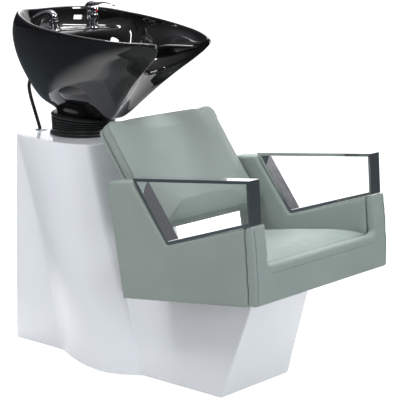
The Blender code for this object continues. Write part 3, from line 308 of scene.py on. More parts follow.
def relax(obj, rounds, weight=0.5):
    """Even out a mesh: each point moves towards the middle of its neighbours."""
    edges = np.empty(len(obj.data.edges) * 2, np.int32)
    obj.data.edges.foreach_get("vertices", edges)
    a, b = edges.reshape(-1, 2).T
    points = points_of(obj)
    count = np.bincount(edges, minlength=len(points))[:, None]
    share = np.broadcast_to(np.asarray(weight, float), (len(points),))[:, None]
    for _ in range(rounds):
        total = np.zeros_like(points)
        for axis in range(3):
            total[:, axis] = (np.bincount(a, points[b, axis], len(points))
                              + np.bincount(b, points[a, axis], len(points)))
        points += share * (total / count - points)
    put_points(obj, points)


def tube(name, route, radius, mat, sides, step, ribs=0.0, rib_pitch=1.0):
    """Round tube along the smooth curve through a route's points, ribbed if wanted."""
    line = even_route(route, step)
    rings, travelled = [], 0.0
    side = (line[1] - line[0]).normalized().orthogonal().normalized()
    for i, here in enumerate(line):
        before = line[max(i - 1, 0)]
        ahead = (line[min(i + 1, len(line) - 1)] - before).normalized()
        side = (side - ahead * side.dot(ahead)).normalized()
        travelled += (here - before).length
        r = radius - ribs * (0.5 - 0.5 * math.cos(2 * math.pi * travelled / rib_pitch))
        rings.append(hoop(here, side, ahead.cross(side), r, sides))
    return piece(name, loft(rings), mat, TUBE_SHARP_DEG)


# ---------------- materials
class Nodes:
    """A shader node tree; place is what its patterns are drawn along."""

    def __init__(self, tree, coordinates):
        self.nodes, self.links = tree.nodes, tree.links
        self.place = self.node("TexCoord", coordinates, {})

    def node(self, kind, output, inputs, **settings):
        """One output of a new node; inputs are numbers, colours, vectors or other outputs."""
        node = self.nodes.new("ShaderNode" + kind)
        for name, value in settings.items():
            setattr(node, name, value)
        for key, value in inputs.items():
            socket = node.inputs[key]
            if isinstance(value, bpy.types.NodeSocket):
                self.links.new(value, socket)
            elif socket.type == "RGBA":
                socket.default_value = (*value, 1.0)
            else:
                socket.default_value = value
        return node.outputs[output]

    def noise(self, scale, detail=2.0, distortion=0.0, vector=None):
        return self.node("TexNoise", "Fac", {"Vector": vector or self.place, "Scale": scale,
                                             "Detail": detail, "Distortion": distortion})

    def cells(self, scale, feature="DISTANCE_TO_EDGE"):
        return self.node("TexVoronoi", "Distance", {"Scale": scale, "Vector": self.place},
                         feature=feature)

    def wave(self, scale, distortion, direction, vector=None):
        return self.node("TexWave", "Fac", {"Vector": vector or self.place, "Scale": scale,
                                            "Distortion": distortion},
                         bands_direction=direction)

    def stretched(self, scale):
        return self.node("Mapping", "Vector", {"Scale": scale, "Vector": self.place})

    def remap(self, value, lo, hi, out_lo=0.0, out_hi=1.0, easing="LINEAR"):
        return self.node("MapRange", "Result", {"Value": value, "From Min": lo, "From Max": hi,
                                                "To Min": out_lo, "To Max": out_hi},
                         interpolation_type=easing)

    def times(self, a, b):
        return self.node("Math", "Value", {0: a, 1: b}, operation="MULTIPLY")

    def plus(self, a, b):
        return self.node("Math", "Value", {0: a, 1: b}, operation="ADD")

    def larger(self, a, b):
        return self.node("Math", "Value", {0: a, 1: b}, operation="MAXIMUM")

    def vector_maths(self, operation, a, b, output="Vector"):
        return self.node("VectorMath", output, {0: a, 1: b}, operation=operation)

    def height(self):
        return self.node("SeparateXYZ", "Z", {"Vector": self.place})

    def ray(self, kind):
        """1 for rays of a kind, such as Camera or Glossy, else 0."""
        return self.node("LightPath", "Is %s Ray" % kind, {})

    def colour(self, value, *stops):
        """Colour from a value: stops are (position, (r, g, b))."""
        node = self.nodes.new("ShaderNodeValToRGB")
        ramp = node.color_ramp
        while len(ramp.elements) < len(stops):
            ramp.elements.new(0.5)
        for element, (position, rgb) in zip(ramp.elements, stops):
            element.position, element.color = position, (*rgb, 1.0)
        self.links.new(value, node.inputs["Fac"])
        return node.outputs["Color"]

    def blend(self, share, first, second):
        """Mix two colours: sockets 0, 6 and 7 take the share and the colours."""
        return self.node("Mix", 2, {0: share, 6: first, 7: second}, data_type="RGBA")


class Look(Nodes):
    """A Principled material with its node tree, drawn in the object's own metres."""

    def __init__(self, name, **fixed):
        self.mat = bpy.data.materials.new(name)
        self.mat.use_nodes = True
        super().__init__(self.mat.node_tree, "Object")
        self.shader = self.nodes["Principled BSDF"]
        for socket, value in fixed.items():
            self.shader.inputs[socket.replace("_", " ")].default_value = value

    def finish(self, colour, roughness, bumps=()):
        """bumps are (height value, depth in metres), finest last."""
        self.links.new(colour, self.shader.inputs["Base Color"])
        self.links.new(roughness, self.shader.inputs["Roughness"])
        below = {}
        for value, depth in bumps:
            normal = self.node("Bump", "Normal", {"Strength": 1.0, "Distance": depth,
                                                  "Height": value, **below})
            below = {"Normal": normal}
        if below:
            self.links.new(normal, self.shader.inputs["Normal"])
        return self.mat


# scale and detail of the tone's noise, scales of the roughness and of the grain
METAL, PLASTIC = (45, 5, 90, 900), (20, 4, 60, 1300)


def gelcoat():
    look = Look("white_gelcoat", Coat_Weight=0.35, Coat_Roughness=0.04)
    tone = look.colour(look.noise(2.2, 3), (0.3, (0.81, 0.84, 0.88)), (0.7, (0.85, 0.88, 0.915)))
    scuffs = look.times(look.remap(look.height(), 0.0, 0.04, 1.0, 0.0),
                        look.remap(look.noise(38, 5), 0.5, 0.75))
    tone = look.blend(look.times(scuffs, 0.2), tone, (0.50, 0.49, 0.47))
    rough = look.plus(look.remap(look.noise(26, 4), 0.3, 0.75, 0.10, 0.17),
                      look.times(scuffs, 0.3))
    return look.finish(tone, rough, ((look.noise(7, 1), 0.0006), (look.noise(240, 2), 0.000012)))


def glaze():
    look = Look("black_glaze", Coat_Weight=0.5, Coat_Roughness=0.015, IOR=1.52)
    tone = look.colour(look.noise(5, 4), (0.3, (0.0035, 0.0032, 0.0032)),
                       (0.75, (0.008, 0.0078, 0.0085)))
    spots = look.remap(look.cells(75, "F1"), 0.10, 0.22, 1.0, 0.0)
    worn = look.times(spots, look.remap(look.noise(9, 2), 0.56, 0.72))
    rough = look.plus(look.remap(look.noise(20, 3), 0.3, 0.8, 0.025, 0.06),
                      look.times(worn, 0.06))
    return look.finish(tone, rough, ((look.noise(9, 1), 0.0008), (look.noise(55, 1), 0.00004)))


def leather(name, dark, light, grain=1.0):
    look = Look(name, Specular_IOR_Level=0.45, Sheen_Weight=0.06, Sheen_Roughness=0.4)
    tone = look.colour(look.noise(6, 5, 0.4), (0.25, dark), (0.75, light))
    pores = look.remap(look.cells(620), 0.0, 0.16)
    tone = look.blend(look.remap(pores, 0.0, 1.0, 0.22, 0.0), tone, tuple(c * 0.55 for c in dark))
    rubbed = look.remap(look.noise(11, 4), 0.52, 0.72)
    rough = look.plus(look.remap(pores, 0.0, 1.0, 0.56, 0.44), look.times(rubbed, -0.08))
    return look.finish(tone, rough, ((look.noise(26, 3, 0.6), 0.0011 * grain),
                                     (pores, 0.00010 * grain),
                                     (look.noise(2300, 2), 0.00003 * grain)))


def chrome():
    look = Look("chrome", Metallic=1.0)
    bright = (0.80, 0.81, 0.82)
    tone = look.colour(look.noise(14, 3), (0.2, tuple(c * 0.94 for c in bright)), (0.8, bright))
    smears = look.remap(look.noise(30, 5, 1.2), 0.45, 0.8, 0.035, 0.11)
    hairs = look.noise(400, 3, 0.0, look.stretched((1.0, 0.05, 1.0)))
    return look.finish(tone, smears, ((look.noise(18, 1), 0.00025), (hairs, 0.000004)))


def plain(name, dark, light, rough, grain=METAL, depth=0.00004, **fixed):
    """An even finish whose tone and roughness drift a little, over a fine grain."""
    tone_scale, tone_detail, rough_scale, grain_scale = grain
    look = Look(name, **fixed)
    tone = look.colour(look.noise(tone_scale, tone_detail), (0.3, dark), (0.7, light))
    drift = look.remap(look.noise(rough_scale, 4), 0.3, 0.75, *rough)
    return look.finish(tone, drift, ((look.noise(grain_scale, 2), depth),))


def plastic(name, dark, light, rough, depth=0.00003, **fixed):
    return plain(name, dark, light, rough, PLASTIC, depth, **fixed)


def plywood():
    look = Look("plywood")
    plies = look.wave(210, 0.5, "Z")
    grain = look.noise(60, 5, 0.8, look.stretched((1.0, 0.12, 6.0)))
    tone = look.blend(look.remap(plies, 0.3, 0.7, 0.0, 0.55),
                      look.colour(grain, (0.3, (0.36, 0.23, 0.12)), (0.7, (0.56, 0.40, 0.24))),
                      (0.26, 0.16, 0.09))
    return look.finish(tone, look.remap(grain, 0.3, 0.7, 0.5, 0.7), ((grain, 0.0002),))


def braid():
    look = Look("braided_steel", Metallic=0.85)
    first = look.wave(420, 0, "DIAGONAL")
    second = look.wave(420, 0, "DIAGONAL", look.stretched((-1.0, 1.0, 1.0)))
    weave = look.larger(first, second)
    tone = look.colour(weave, (0.3, (0.16, 0.16, 0.17)), (0.8, (0.62, 0.63, 0.65)))
    return look.finish(tone, look.remap(weave, 0.0, 1.0, 0.5, 0.28), ((weave, 0.0003),))


GEL, GLAZE = gelcoat(), glaze()
LEATHER = leather("grey_leather", (0.265, 0.315, 0.290), (0.300, 0.350, 0.325))
# The welts are real seams, but their leather is darker than the cover's: painted shade along the
# seams.
SHADED_SEAM = leather("grey_leather_seam_painted_shade", (0.17, 0.205, 0.190), (0.21, 0.25, 0.235), 0.6)
CHROME = chrome()
PAINTED = plain("painted_steel", (0.035, 0.035, 0.038), (0.06, 0.06, 0.065), (0.42, 0.60),
                Metallic=0.2)
ZINC = plain("zinc_steel", (0.42, 0.43, 0.45), (0.62, 0.63, 0.65), (0.30, 0.50), Metallic=1.0)
BRASS = plain("brass", (0.45, 0.32, 0.12), (0.62, 0.46, 0.20), (0.24, 0.42), Metallic=1.0)
RUBBER = plastic("black_rubber", (0.014, 0.015, 0.0155), (0.026, 0.028, 0.029), (0.27, 0.38),
                 0.000005)
WHITE = plastic("white_plastic", (0.66, 0.66, 0.64), (0.76, 0.76, 0.75), (0.30, 0.46))
BLACK = plastic("black_plastic", (0.010, 0.010, 0.011), (0.024, 0.024, 0.026), (0.30, 0.45))
RED = plastic("red_plastic", (0.50, 0.012, 0.02), (0.68, 0.02, 0.03), (0.18, 0.3),
              Coat_Weight=0.3)
THREAD = plastic("thread", (0.30, 0.34, 0.32), (0.42, 0.46, 0.44), (0.5, 0.7), 0.0001)
PLY, BRAID = plywood(), braid()


# the starts of the names of the CAD nodes that each look is for
CAD_LOOKS = {
    GEL: "base_shell rear_access_panel",
    GLAZE: "basin_bowl",
    LEATHER: "seat_cushion front_panel side_panel backrest_cushion backrest_board",
    CHROME: "arm_frame waste_body hair_strainer hose_gland mixer_flange mixer_body mixer_head "
            "mixer_lever handset_holder hose_nut handset_body",
    PAINTED: "steel_frame tilt_bracket tilt_ear",
    ZINC: "access_screw floor_anchor seat_bolt backrest_bolt bracket_bolt ear_bolt tilt_pin",
    BRASS: "hot_supply_valve cold_supply_valve mixer_fixing_nut",
    RUBBER: "bellows shower_hose handset_hose_tail",
    WHITE: "waste_hose bottle_trap waste_outlet_pipe",
    BLACK: "waste_nut spray_face friction_washer",
    RED: "index_button",
    PLY: "seat_board seat_rear_rail",
    BRAID: "hot_supply_hose cold_supply_hose",
}


def dress_cad():
    for look, starts in CAD_LOOKS.items():
        for name in NODES:
            if name.startswith(tuple(starts.split())):
                materials = NODES[name].data.materials
                if len(materials) == 0:
                    materials.append(look)
                for k in range(len(materials)):
                    materials[k] = look


dress_cad()


# ---------------- moulded base
BASE_REAR_Y, REAR_LEAN = 0.572, 0.035
WING_HALF, REAR_CORNER_R = 0.1316, 0.012
COLUMN_HALF_FLOOR, COLUMN_HALF_DECK = 0.2055, 0.182
COLUMN_WIDEST, COLUMN_FRONT_HALF = 0.67, 0.152
COLUMN_FRONT_Y, WING_FRONT_Y = (-0.017, 0.42, -0.14), (0.349, 0.22, 0.10)
PLINTH_FRONT_Y, PLINTH_LEAN = -0.321, 0.326
PLINTH_HALF, PLINTH_TAPER = 0.1546, 0.083
PLINTH_REAR_Y, PLINTH_HOLLOW_REAR_Y = 0.115, 0.127
FOOT_Z, BELOW_FLOOR_Z = 0.003, -0.02
SHELL_WALL = 0.006
CHAIR_TILT = math.radians(7.1)
CHAIR_REAR_Y, CHAIR_REAR_Z = -0.0801, 0.2823
BELLOWS_HOLE_R = 0.083
HOSE_HOLE, HOSE_HOLE_R = (-0.0405, 0.523), 0.0145
SEAT_ARM_OPENING = ((-0.045, -0.235, 0.20), (0.045, -0.165, 0.34))
REAR_OPENING = ((-0.080, 0.50, 0.12), (0.080, 0.60, 0.44))
ACCESS_SCREW_Z, ACCESS_SCREW_R = (0.110, 0.450), 0.0023


def quadratic(height, curve):
    """A distance that changes with height as a quadratic."""
    return curve[0] + curve[1] * height + curve[2] * height * height


def rear_y(z):
    return BASE_REAR_Y - REAR_LEAN * z


def column_half(z):
    """Half outline (x >= 0) of the column at height z, from rear middle to front middle."""
    back, front = rear_y(z), quadratic(z, COLUMN_FRONT_Y)
    wing = min(quadratic(z, WING_FRONT_Y), back - REAR_CORNER_R - 0.004)
    widest = mix(COLUMN_HALF_FLOOR, COLUMN_HALF_DECK, z / DECK_Z)
    half = [((WING_HALF - REAR_CORNER_R) * k / 10, back) for k in range(10)]
    for k in range(9):
        a = math.radians(90 - 90 * k / 8)
        half.append((WING_HALF - REAR_CORNER_R * (1 - math.cos(a)),
                     back - REAR_CORNER_R * (1 - math.sin(a))))
    half += [(WING_HALF, mix(back - REAR_CORNER_R, wing, k / 14)) for k in range(1, 14)]
    steps = 90
    for k in range(steps + 1):
        q = k / steps
        if q < COLUMN_WIDEST:
            x = mix(WING_HALF, widest, math.sin(math.pi / 2 * q / COLUMN_WIDEST))
        else:
            a = math.pi / 2 * (q - COLUMN_WIDEST) / (1 - COLUMN_WIDEST)
            x = mix(COLUMN_FRONT_HALF, widest, math.cos(a))
        half.append((x, mix(wing, front, q)))
    half += [(COLUMN_FRONT_HALF - 0.005 * k, front - 0.0015 * k) for k in range(1, 5)]
    half += [(COLUMN_FRONT_HALF - 0.020 - 0.005 * k, front - 0.006 - 0.00043 * k)
             for k in range(1, 8)]
    half += [((COLUMN_FRONT_HALF - 0.055) * (1 - k / 9), front - 0.009 - 0.001 * k / 9)
             for k in range(1, 10)]
    return half


def column_ring(z, inwards=0.0, height=None, soften=5):
    """The column's outline at height z, moved inwards, at another height if one is given."""
    half = column_half(z)
    points = np.array(half + [(-x, y) for x, y in reversed(half[1:-1])])
    for _ in range(soften):
        points = (np.roll(points, 1, 0) + 2 * points + np.roll(points, -1, 0)) / 4
    outline = [tuple(p) for p in points]
    if inwards:
        outline = inset(outline, inwards)
    return [(x, y, z if height is None else height) for x, y in outline]


def plinth_block(wall, foot_z, tuck_y):
    """The tapered block under the seat; its top follows the seat board's slope."""
    top = -(0.006 + 2 * GAP) - wall * 1.01
    slope = math.tan(CHAIR_TILT)

    def front_y(z):
        return PLINTH_FRONT_Y - PLINTH_LEAN * z + wall * 1.05

    def half(z):
        return PLINTH_HALF - PLINTH_TAPER * z - wall

    base = CHAIR_REAR_Z + CHAIR_REAR_Y * slope + top
    front_top_z = (base - slope * front_y(0)) / (1 - slope * PLINTH_LEAN)
    rear_top_z = base - slope * tuck_y
    corners = [(half(max(z, 0.0)), y, z) for y, z in
               ((front_y(foot_z), foot_z), (front_y(front_top_z), front_top_z),
                (tuck_y, rear_top_z), (tuck_y, foot_z))]
    return loft([[(-x, y, z) for x, y, z in corners], corners])


def base_shell():
    edge, steps = 0.007, 6
    rings = [column_ring(mix(FOOT_Z, DECK_Z - edge, k / 48)) for k in range(49)]
    for k in range(1, steps + 1):
        a = math.pi / 2 * k / steps
        rings.append(column_ring(DECK_Z - edge, edge * (1 - math.cos(a)),
                                 DECK_Z - edge + edge * math.sin(a)))
    shell = piece("base_moulding", loft(rings), GEL)
    bevel(tool(shell, plinth_block(0.0, FOOT_Z, PLINTH_REAR_Y), "UNION"), 0.005, 4)
    hollow = [column_ring(0.0, SHELL_WALL, BELOW_FLOOR_Z, 2)]
    hollow += [column_ring(z, SHELL_WALL, None, 2) for z in (0.0, 0.15, 0.3, 0.45, 0.58, 0.65)]
    hollow.append(column_ring(DECK_Z - SHELL_WALL, SHELL_WALL + 0.006, None, 2))
    tool(shell, loft(hollow))
    tool(shell, plinth_block(SHELL_WALL, BELOW_FLOOR_Z, PLINTH_HOLLOW_REAR_Y))
    drilled(shell, (0, BASIN_Y, DECK_Z - 0.02), BELLOWS_HOLE_R, 0.04, 72)
    drilled(shell, (*HOSE_HOLE, DECK_Z - 0.02), HOSE_HOLE_R, 0.04, 32)
    tool(shell, block(*SEAT_ARM_OPENING))
    tool(shell, block(*REAR_OPENING))
    for z in ACCESS_SCREW_Z:
        drilled(shell, (0, 0.54, z), ACCESS_SCREW_R, 0.06, 16, "Y")
    settle(shell, 28)
    stands_for(shell, "base_shell", "base")


base_shell()

# ---------------- basin
# Half of the rim's outer and inner edge, from its rear middle to the middle of the neck notch.
RIM_OUTER = ((0.0, 0.580, 1.043), (0.060, 0.575, 1.044), (0.105, 0.551, 1.046),
             (0.155, 0.502, 1.046), (0.199, 0.448, 1.040), (0.240, 0.354, 1.024),
             (0.2497, 0.270, 1.012), (0.239, 0.180, 1.001), (0.214, 0.090, 0.991),
             (0.176, 0.019, 0.984), (0.145, -0.020, 0.982), (0.120, -0.046, 0.971),
             (0.101, -0.031, 0.948), (0.083, 0.020, 0.921), (0.050, 0.074, 0.892),
             (0.0, 0.092, 0.879))
RIM_INNER = ((0.0, 0.566, 1.045), (0.056, 0.562, 1.046), (0.098, 0.540, 1.048),
             (0.146, 0.493, 1.048), (0.188, 0.441, 1.042), (0.228, 0.351, 1.026),
             (0.2375, 0.270, 1.014), (0.227, 0.184, 1.003), (0.203, 0.098, 0.993),
             (0.166, 0.030, 0.986), (0.135, -0.010, 0.984), (0.106, -0.036, 0.980),
             (0.100, 0.010, 0.962), (0.090, 0.085, 0.938), (0.058, 0.125, 0.925),
             (0.0, 0.138, 0.920))
HORN = 10 / (len(RIM_OUTER) - 1)
RIM_STEPS, BODY_STEPS = 96, 62
BOWL_HALF_X, BOWL_MIDDLE_Y, BOWL_POWER = 0.215, 0.318, 2.6
BOWL_REACH_TAPS, BOWL_REACH_NOTCH = 0.078, 0.180
LIP_SHARES, LIP_LIFT = (0.06, 0.14, 0.26, 0.40, 0.55, 0.70, 0.84, 0.94, 1.0), 0.0048
LEAD_SHARES = (0.03, 0.07, 0.12, 0.18, 0.26, 0.35, 0.45, 0.56, 0.67, 0.78, 0.89)
# z, y of the middle, and half sizes in x and y of the space for hoses behind the bowl
CAVITY = ((0.700, 0.434, 0.050, 0.022), (0.772, 0.434, 0.050, 0.022),
          (0.806, 0.444, 0.058, 0.031), (0.846, 0.458, 0.090, 0.046),
          (0.890, 0.464, 0.130, 0.057), (0.974, 0.464, 0.141, 0.057))
HOSE_PORT = ((-0.045, 0.500, 0.8665), (-0.045, 0.580, 0.8290))


def collar_z(y):
    return COLLAR_Z + COLLAR_SLOPE * (y - BASIN_Y)


def rim_samples(points):
    """The whole rim, evenly sampled, from its rear middle round by +X and back."""
    half = [spline(points, k / RIM_STEPS) for k in range(RIM_STEPS + 1)]
    half[0].x = 0.0
    half[-1].x = 0.0
    return half + [Vector((-p.x, p.y, p.z)) for p in reversed(half[1:-1])]


def collar_points(outer, place):
    """A point on the collar for each rim point; past the horns they spread evenly."""
    ring = []
    start = spline(RIM_OUTER, HORN)
    at_horn = math.atan2(start.y - BASIN_Y, start.x)
    for k, p in enumerate(outer):
        side = -1.0 if k > RIM_STEPS else 1.0
        angle = math.atan2(p.y - BASIN_Y, abs(p.x))
        if place[k] > HORN:
            angle = mix(at_horn, -math.pi / 2, (place[k] - HORN) / (1 - HORN))
        x, y = side * COLLAR_R * math.cos(angle), BASIN_Y + COLLAR_R * math.sin(angle)
        ring.append(Vector((x, y, collar_z(y))))
    return ring


def body_point(foot, head, t, u):
    """Point on the basin's outside: t from 0 at the rear middle to 1 at the neck notch,
    u from 0 at the collar to 1 at the rim. It is a round bowl behind and a keel in front."""
    full = mix(1.0, 0.45, smooth(0.15, 0.36, t)) * (1 - smooth(0.50, 0.74, t))
    keel = smooth(0.45, 0.70, t)
    flat = 0.20 + 0.09 * smooth(0.70, 1.0, t)
    rise = (u - flat) / (1 - flat)
    hinge = 0.5 * (rise + math.sqrt(rise * rise + 0.0020))
    dip = 0.10 * math.exp(-((u - 0.17) / 0.10) ** 2) * min(1.0, u / 0.08)
    across = full * math.sin(math.pi / 2 * (u ** 1.12 - dip)) + (1 - full) * u
    up = full * (1 - math.cos(math.pi / 2 * u)) + (1 - full) * mix(u, hinge, keel)
    # the sides swell by up to 21 mm near the rim, the front quarters are scooped by 16 mm
    swell = 0.021 * (1 - smooth(0.2, 0.5, t)) * 12.2 * u ** 4 * (1 - u)
    crease = mix(0.42, 0.90, smooth(0.32, 0.64, t))
    scoop = smooth(0.0, 0.09, crease - u) * smooth(0.0, 0.30, u)
    scoop *= 0.016 * smooth(0.30, 0.42, t) * (1 - smooth(0.66, 0.84, t))
    out = Vector((head.x - foot.x, head.y - foot.y, 0)).normalized()
    place = Vector((mix(foot.x, head.x, across), mix(foot.y, head.y, across), 0))
    place += out * (swell - scoop)
    place.z = mix(foot.z, head.z, min(up, 1.0))
    return place


def bowl_share(x, y):
    """0 in the bowl's middle and 1 on the line where its wall stands."""
    reach = BOWL_REACH_TAPS if y > BOWL_MIDDLE_Y else BOWL_REACH_NOTCH
    return ((abs(x) / BOWL_HALF_X) ** BOWL_POWER
            + (abs(y - BOWL_MIDDLE_Y) / reach) ** BOWL_POWER) ** (1 / BOWL_POWER)


def bowl_height(x, y, rim_z, inwards, t):
    """Height of the inside: down from the rim to the tap deck, then the wall and the floor."""
    drop = mix(rim_z - TAP_DECK_Z, 0.022, smooth(0.30, 0.46, t))
    top = rim_z - drop * (1 - math.exp(-inwards / 0.009))
    rho = bowl_share(x, y)
    wall = rho ** 4 / (1 + rho ** 16) ** 0.25
    near = math.hypot(x, y - WASTE_Y)
    return mix(BOWL_FLOOR_Z, top, wall * smooth(0.037, 0.062, near))


def inside_stations(rim, waste, levels=26, halvings=22):
    """Shares of the way from the rim to the waste at which the inside's rings pass."""
    def share_at(v):
        return bowl_share(mix(rim[0], waste[0], v), mix(rim[1], waste[1], v))

    highest, lowest = min(1.15, share_at(0.0) * 0.97), share_at(1.0)
    stations = []
    for k in range(levels):
        level = mix(highest, lowest, (k / (levels - 1)) * 0.94)
        lo, hi = 0.0, 1.0
        for _ in range(halvings):
            middle = (lo + hi) / 2
            if share_at(middle) > level:
                lo = middle
            else:
                hi = middle
        stations.append(hi)
    run = math.hypot(rim[0] - waste[0], rim[1] - waste[1])
    flat = mix(max(stations[-1], 1 - 0.0165 / run), 1.0, 0.02)
    return [stations[0] * share for share in LEAD_SHARES] + stations + [flat, 1.0]


def service_cavity():
    corners = [squarish(a, 0.5) for a in turns(24)]
    return loft([[(half_x * c, y + half_y * s, z) for c, s in corners]
                 for z, y, half_x, half_y in CAVITY])


def smoothed(grid, place, lip_from, lip_to):
    """Soften the rings of points: most near the collar, and the lip's edges a little."""
    horn = np.exp(-((np.array(place) - HORN - 0.03) / 0.16) ** 2)[:, None]
    for j in range(2, lip_from):
        rounds = round(mix(260, 1, smooth(0.45, 0.93, (j - 1) / BODY_STEPS)))
        for k in range(rounds):
            soft = (np.roll(grid[j], 1, 0) - 2 * grid[j] + np.roll(grid[j], -1, 0)) / 4
            grid[j] += soft * (1.0 if k < 30 else horn)
    for _ in range(12):
        grid[2:lip_from] = (grid[1:lip_from - 1] + 2 * grid[2:lip_from]
                            + grid[3:lip_from + 1]) / 4
    for _ in range(2):
        soft = (grid[:-2] + 2 * grid[1:-1] + grid[2:]) / 4
        grid[lip_from:lip_to] = soft[lip_from - 1:lip_to - 1]
    return [[tuple(p) for p in ring] for ring in grid]


def basin_rings():
    """Rings of points up the outside, over the lip and down the inside."""
    outer, inner = rim_samples(RIM_OUTER), rim_samples(RIM_INNER)
    columns = range(len(outer))
    place = [(k if k <= RIM_STEPS else 2 * RIM_STEPS - k) / RIM_STEPS for k in columns]
    collar = collar_points(outer, place)
    waste = [(WASTE_HOLE_R * c.x / COLLAR_R, WASTE_Y + WASTE_HOLE_R * (c.y - BASIN_Y) / COLLAR_R)
             for c in collar]
    rings = [[(x, y, collar_z(y)) for x, y in waste]]
    for j in range(BODY_STEPS + 1):
        rings.append([body_point(collar[k], outer[k], place[k], j / BODY_STEPS)
                      for k in columns])
    lip_from = len(rings) - 4
    for share in LIP_SHARES:
        lift = LIP_LIFT * math.sin(math.pi * share) ** 0.7
        rings.append([mix(outer[k], inner[k], share) + Vector((0, 0, lift)) for k in columns])
    lip_to = len(rings) + 4
    stations = [inside_stations(inner[k], waste[k]) for k in columns]
    for j in range(len(stations[0])):
        ring = []
        for k in columns:
            x = mix(inner[k].x, waste[k][0], stations[k][j])
            y = mix(inner[k].y, waste[k][1], stations[k][j])
            inwards = math.hypot(x - inner[k].x, y - inner[k].y)
            ring.append((x, y, bowl_height(x, y, inner[k].z, inwards, place[k])))
        rings.append(ring)
    grid = np.array([[tuple(p) for p in ring] for ring in rings])
    return smoothed(grid, place, lip_from, lip_to)


def basin_bowl():
    basin = piece("basin", loft(basin_rings(), wrap=True), GLAZE)
    tool(basin, service_cavity())
    for x, radius in ((MIXER_X, 0.0175), (HANDSET_X, 0.0125)):
        drilled(basin, (x, TAP_Y, 0.93), radius, 0.10, 32)
    tool(basin, loft([[Vector(end) + p for p in circle((0, 0, 0), 0.012, 24, "Y")]
                      for end in HOSE_PORT]))
    for x in (-0.066, 0.066):
        drilled(basin, (x, BASIN_Y, 0.70), 0.0028, 0.05, 16)
    settle(basin, 40)
    stands_for(basin, "basin_bowl", "basin")


basin_bowl()


# ---------------- bellows and hoses
FOLDS = ((0.135, 0.0992), (0.135, 0.0996), (0.145, 0.1000), (0.155, 0.1004), (0.235, 0.1010))
CUFF = ((0.0965, 0.004), (0.0985, 0.02), (0.0990, 0.05), (0.0990, 0.14), (0.0982, 0.165),
        (0.0965, 0.18))
CLAMP_RING = ((0.1050, GAP), (0.1050, 0.0070), (0.1042, 0.0092), (0.1022, 0.0111),
              (0.1, 0.0120), (0.0860, 0.0120), (0.0840, 0.0110), (0.0840, GAP))


def bellows():
    """A smooth cuff and five folds; the profile is (radius, share of the height)."""
    inner, root, low = 0.077, 0.0905, 0.19
    profile = [(inner, 0.0), (inner + 0.006, 0.0), *CUFF, (root, low)]
    for height, crest in FOLDS:
        for k in range(1, 17):
            share = k / 16
            rib = abs(math.sin(math.pi * share)) ** 0.55
            profile.append((mix(root, crest, rib), low + height * mix(0.03, 0.97, share)))
        low += height
    profile += [(inner + 0.006, 1.0), (inner, 1.0), (inner - 0.002, 0.5)]
    rings = [[(p.x, p.y, mix(BELLOWS_FOOT_Z, collar_z(p.y) - GAP, share))
              for p in circle((0, BASIN_Y, 0), radius, 96)] for radius, share in profile]
    boot = piece("rubber_bellows", loft(rings, wrap=True), RUBBER, TUBE_SHARP_DEG)
    flexes(boot, "bellows")
    clamp = piece("bellows_clamp_ring",
                  turned((0, BASIN_Y, DECK_Z), CLAMP_RING, 96, hollow=True), RUBBER)
    stands_for(clamp, "bellows_base_ring", "base")


SHOWER_ROUTE = ((HANDSET_X, TAP_Y, 0.8808), (HANDSET_X, TAP_Y, 0.856),
                (-0.058, 0.450, 0.841), (-0.052, 0.478, 0.849), (-0.0465, 0.510, 0.8618),
                (-0.045, 0.5565, 0.840), (-0.045, 0.572, 0.812), (-0.045, 0.567, 0.778),
                (-0.045, 0.550, 0.735), (-0.0435, 0.5275, 0.675), (-0.042, 0.515, 0.625),
                (-0.036, 0.512, 0.520), (-0.028, 0.520, 0.420), (-0.022, 0.515, 0.345),
                (-0.012, 0.485, 0.300), (-0.004, 0.450, 0.335), (0.0, 0.436, 0.420),
                (0.0, 0.434, 0.540), (0.0, 0.434, 0.660), (0.0, 0.434, 0.750),
                (0.022, 0.436, 0.810), (0.070, 0.430, 0.870), (0.103, 0.4262, 0.920),
                (MIXER_X, TAP_Y - 0.011, 0.945))


def hoses():
    hose = tube("black_shower_hose", SHOWER_ROUTE, 0.0055, RUBBER, 24, 0.004)
    flexes(hose, "shower_hose")
    tail_z = BOWL_FLOOR_Z + GAP - 0.062
    drain = tube("corrugated_waste_hose",
                 ((0, WASTE_Y, tail_z - GAP), (0, WASTE_Y, tail_z - 0.05),
                  (0, WASTE_Y - 0.003, 0.56), (0, 0.335, 0.48), (0, 0.335, 0.4003)),
                 0.0190, WHITE, 32, 0.0012, 0.0016, 0.0072)
    flexes(drain, "waste_hose")
    for name, sign in (("hot", -1), ("cold", 1)):
        valve, mouth, tail = sign * 0.055, sign * 0.028, MIXER_X + sign * 0.009
        route = ((valve, 0.465, 0.1503), (valve, 0.465, 0.25), (valve * 0.9, 0.455, 0.40),
                 (mouth * 1.1, 0.440, 0.56), (mouth, 0.434, 0.66), (mouth, 0.434, 0.76),
                 (mix(mouth, tail, 0.35), 0.437, 0.83), (mix(mouth, tail, 0.9), 0.440, 0.90),
                 (tail, TAP_Y + 0.004, 0.945))
        supply = tube("braided_%s_hose" % name, route, 0.0052, BRAID, 16, 0.006)
        flexes(supply, "%s_supply_hose" % name)


bellows()
hoses()


# ---------------- upholstery
BACK_LEAN = math.atan2(0.207, 0.2755)
BACK_HALF, BACK_LENGTH = 0.2312, 0.3446
BACK_FOOT = Vector((0, -0.165, 0.4975))
BACK_UP = Vector((0, math.sin(BACK_LEAN), math.cos(BACK_LEAN)))
BACK_OUT = Vector((0, math.cos(BACK_LEAN), -math.sin(BACK_LEAN)))
CHAIR_HALF = 0.3025
SWELL_LIMIT, CLOTH_FRAMES = 0.022, 20
CLOTH = {"quality": 6, "mass": 0.35, "tension_stiffness": 20.0, "compression_stiffness": 20.0,
         "shear_stiffness": 8.0, "bending_stiffness": 0.6, "use_pressure": True,
         "uniform_pressure_force": 4.0, "vertex_group_mass": "pinned"}


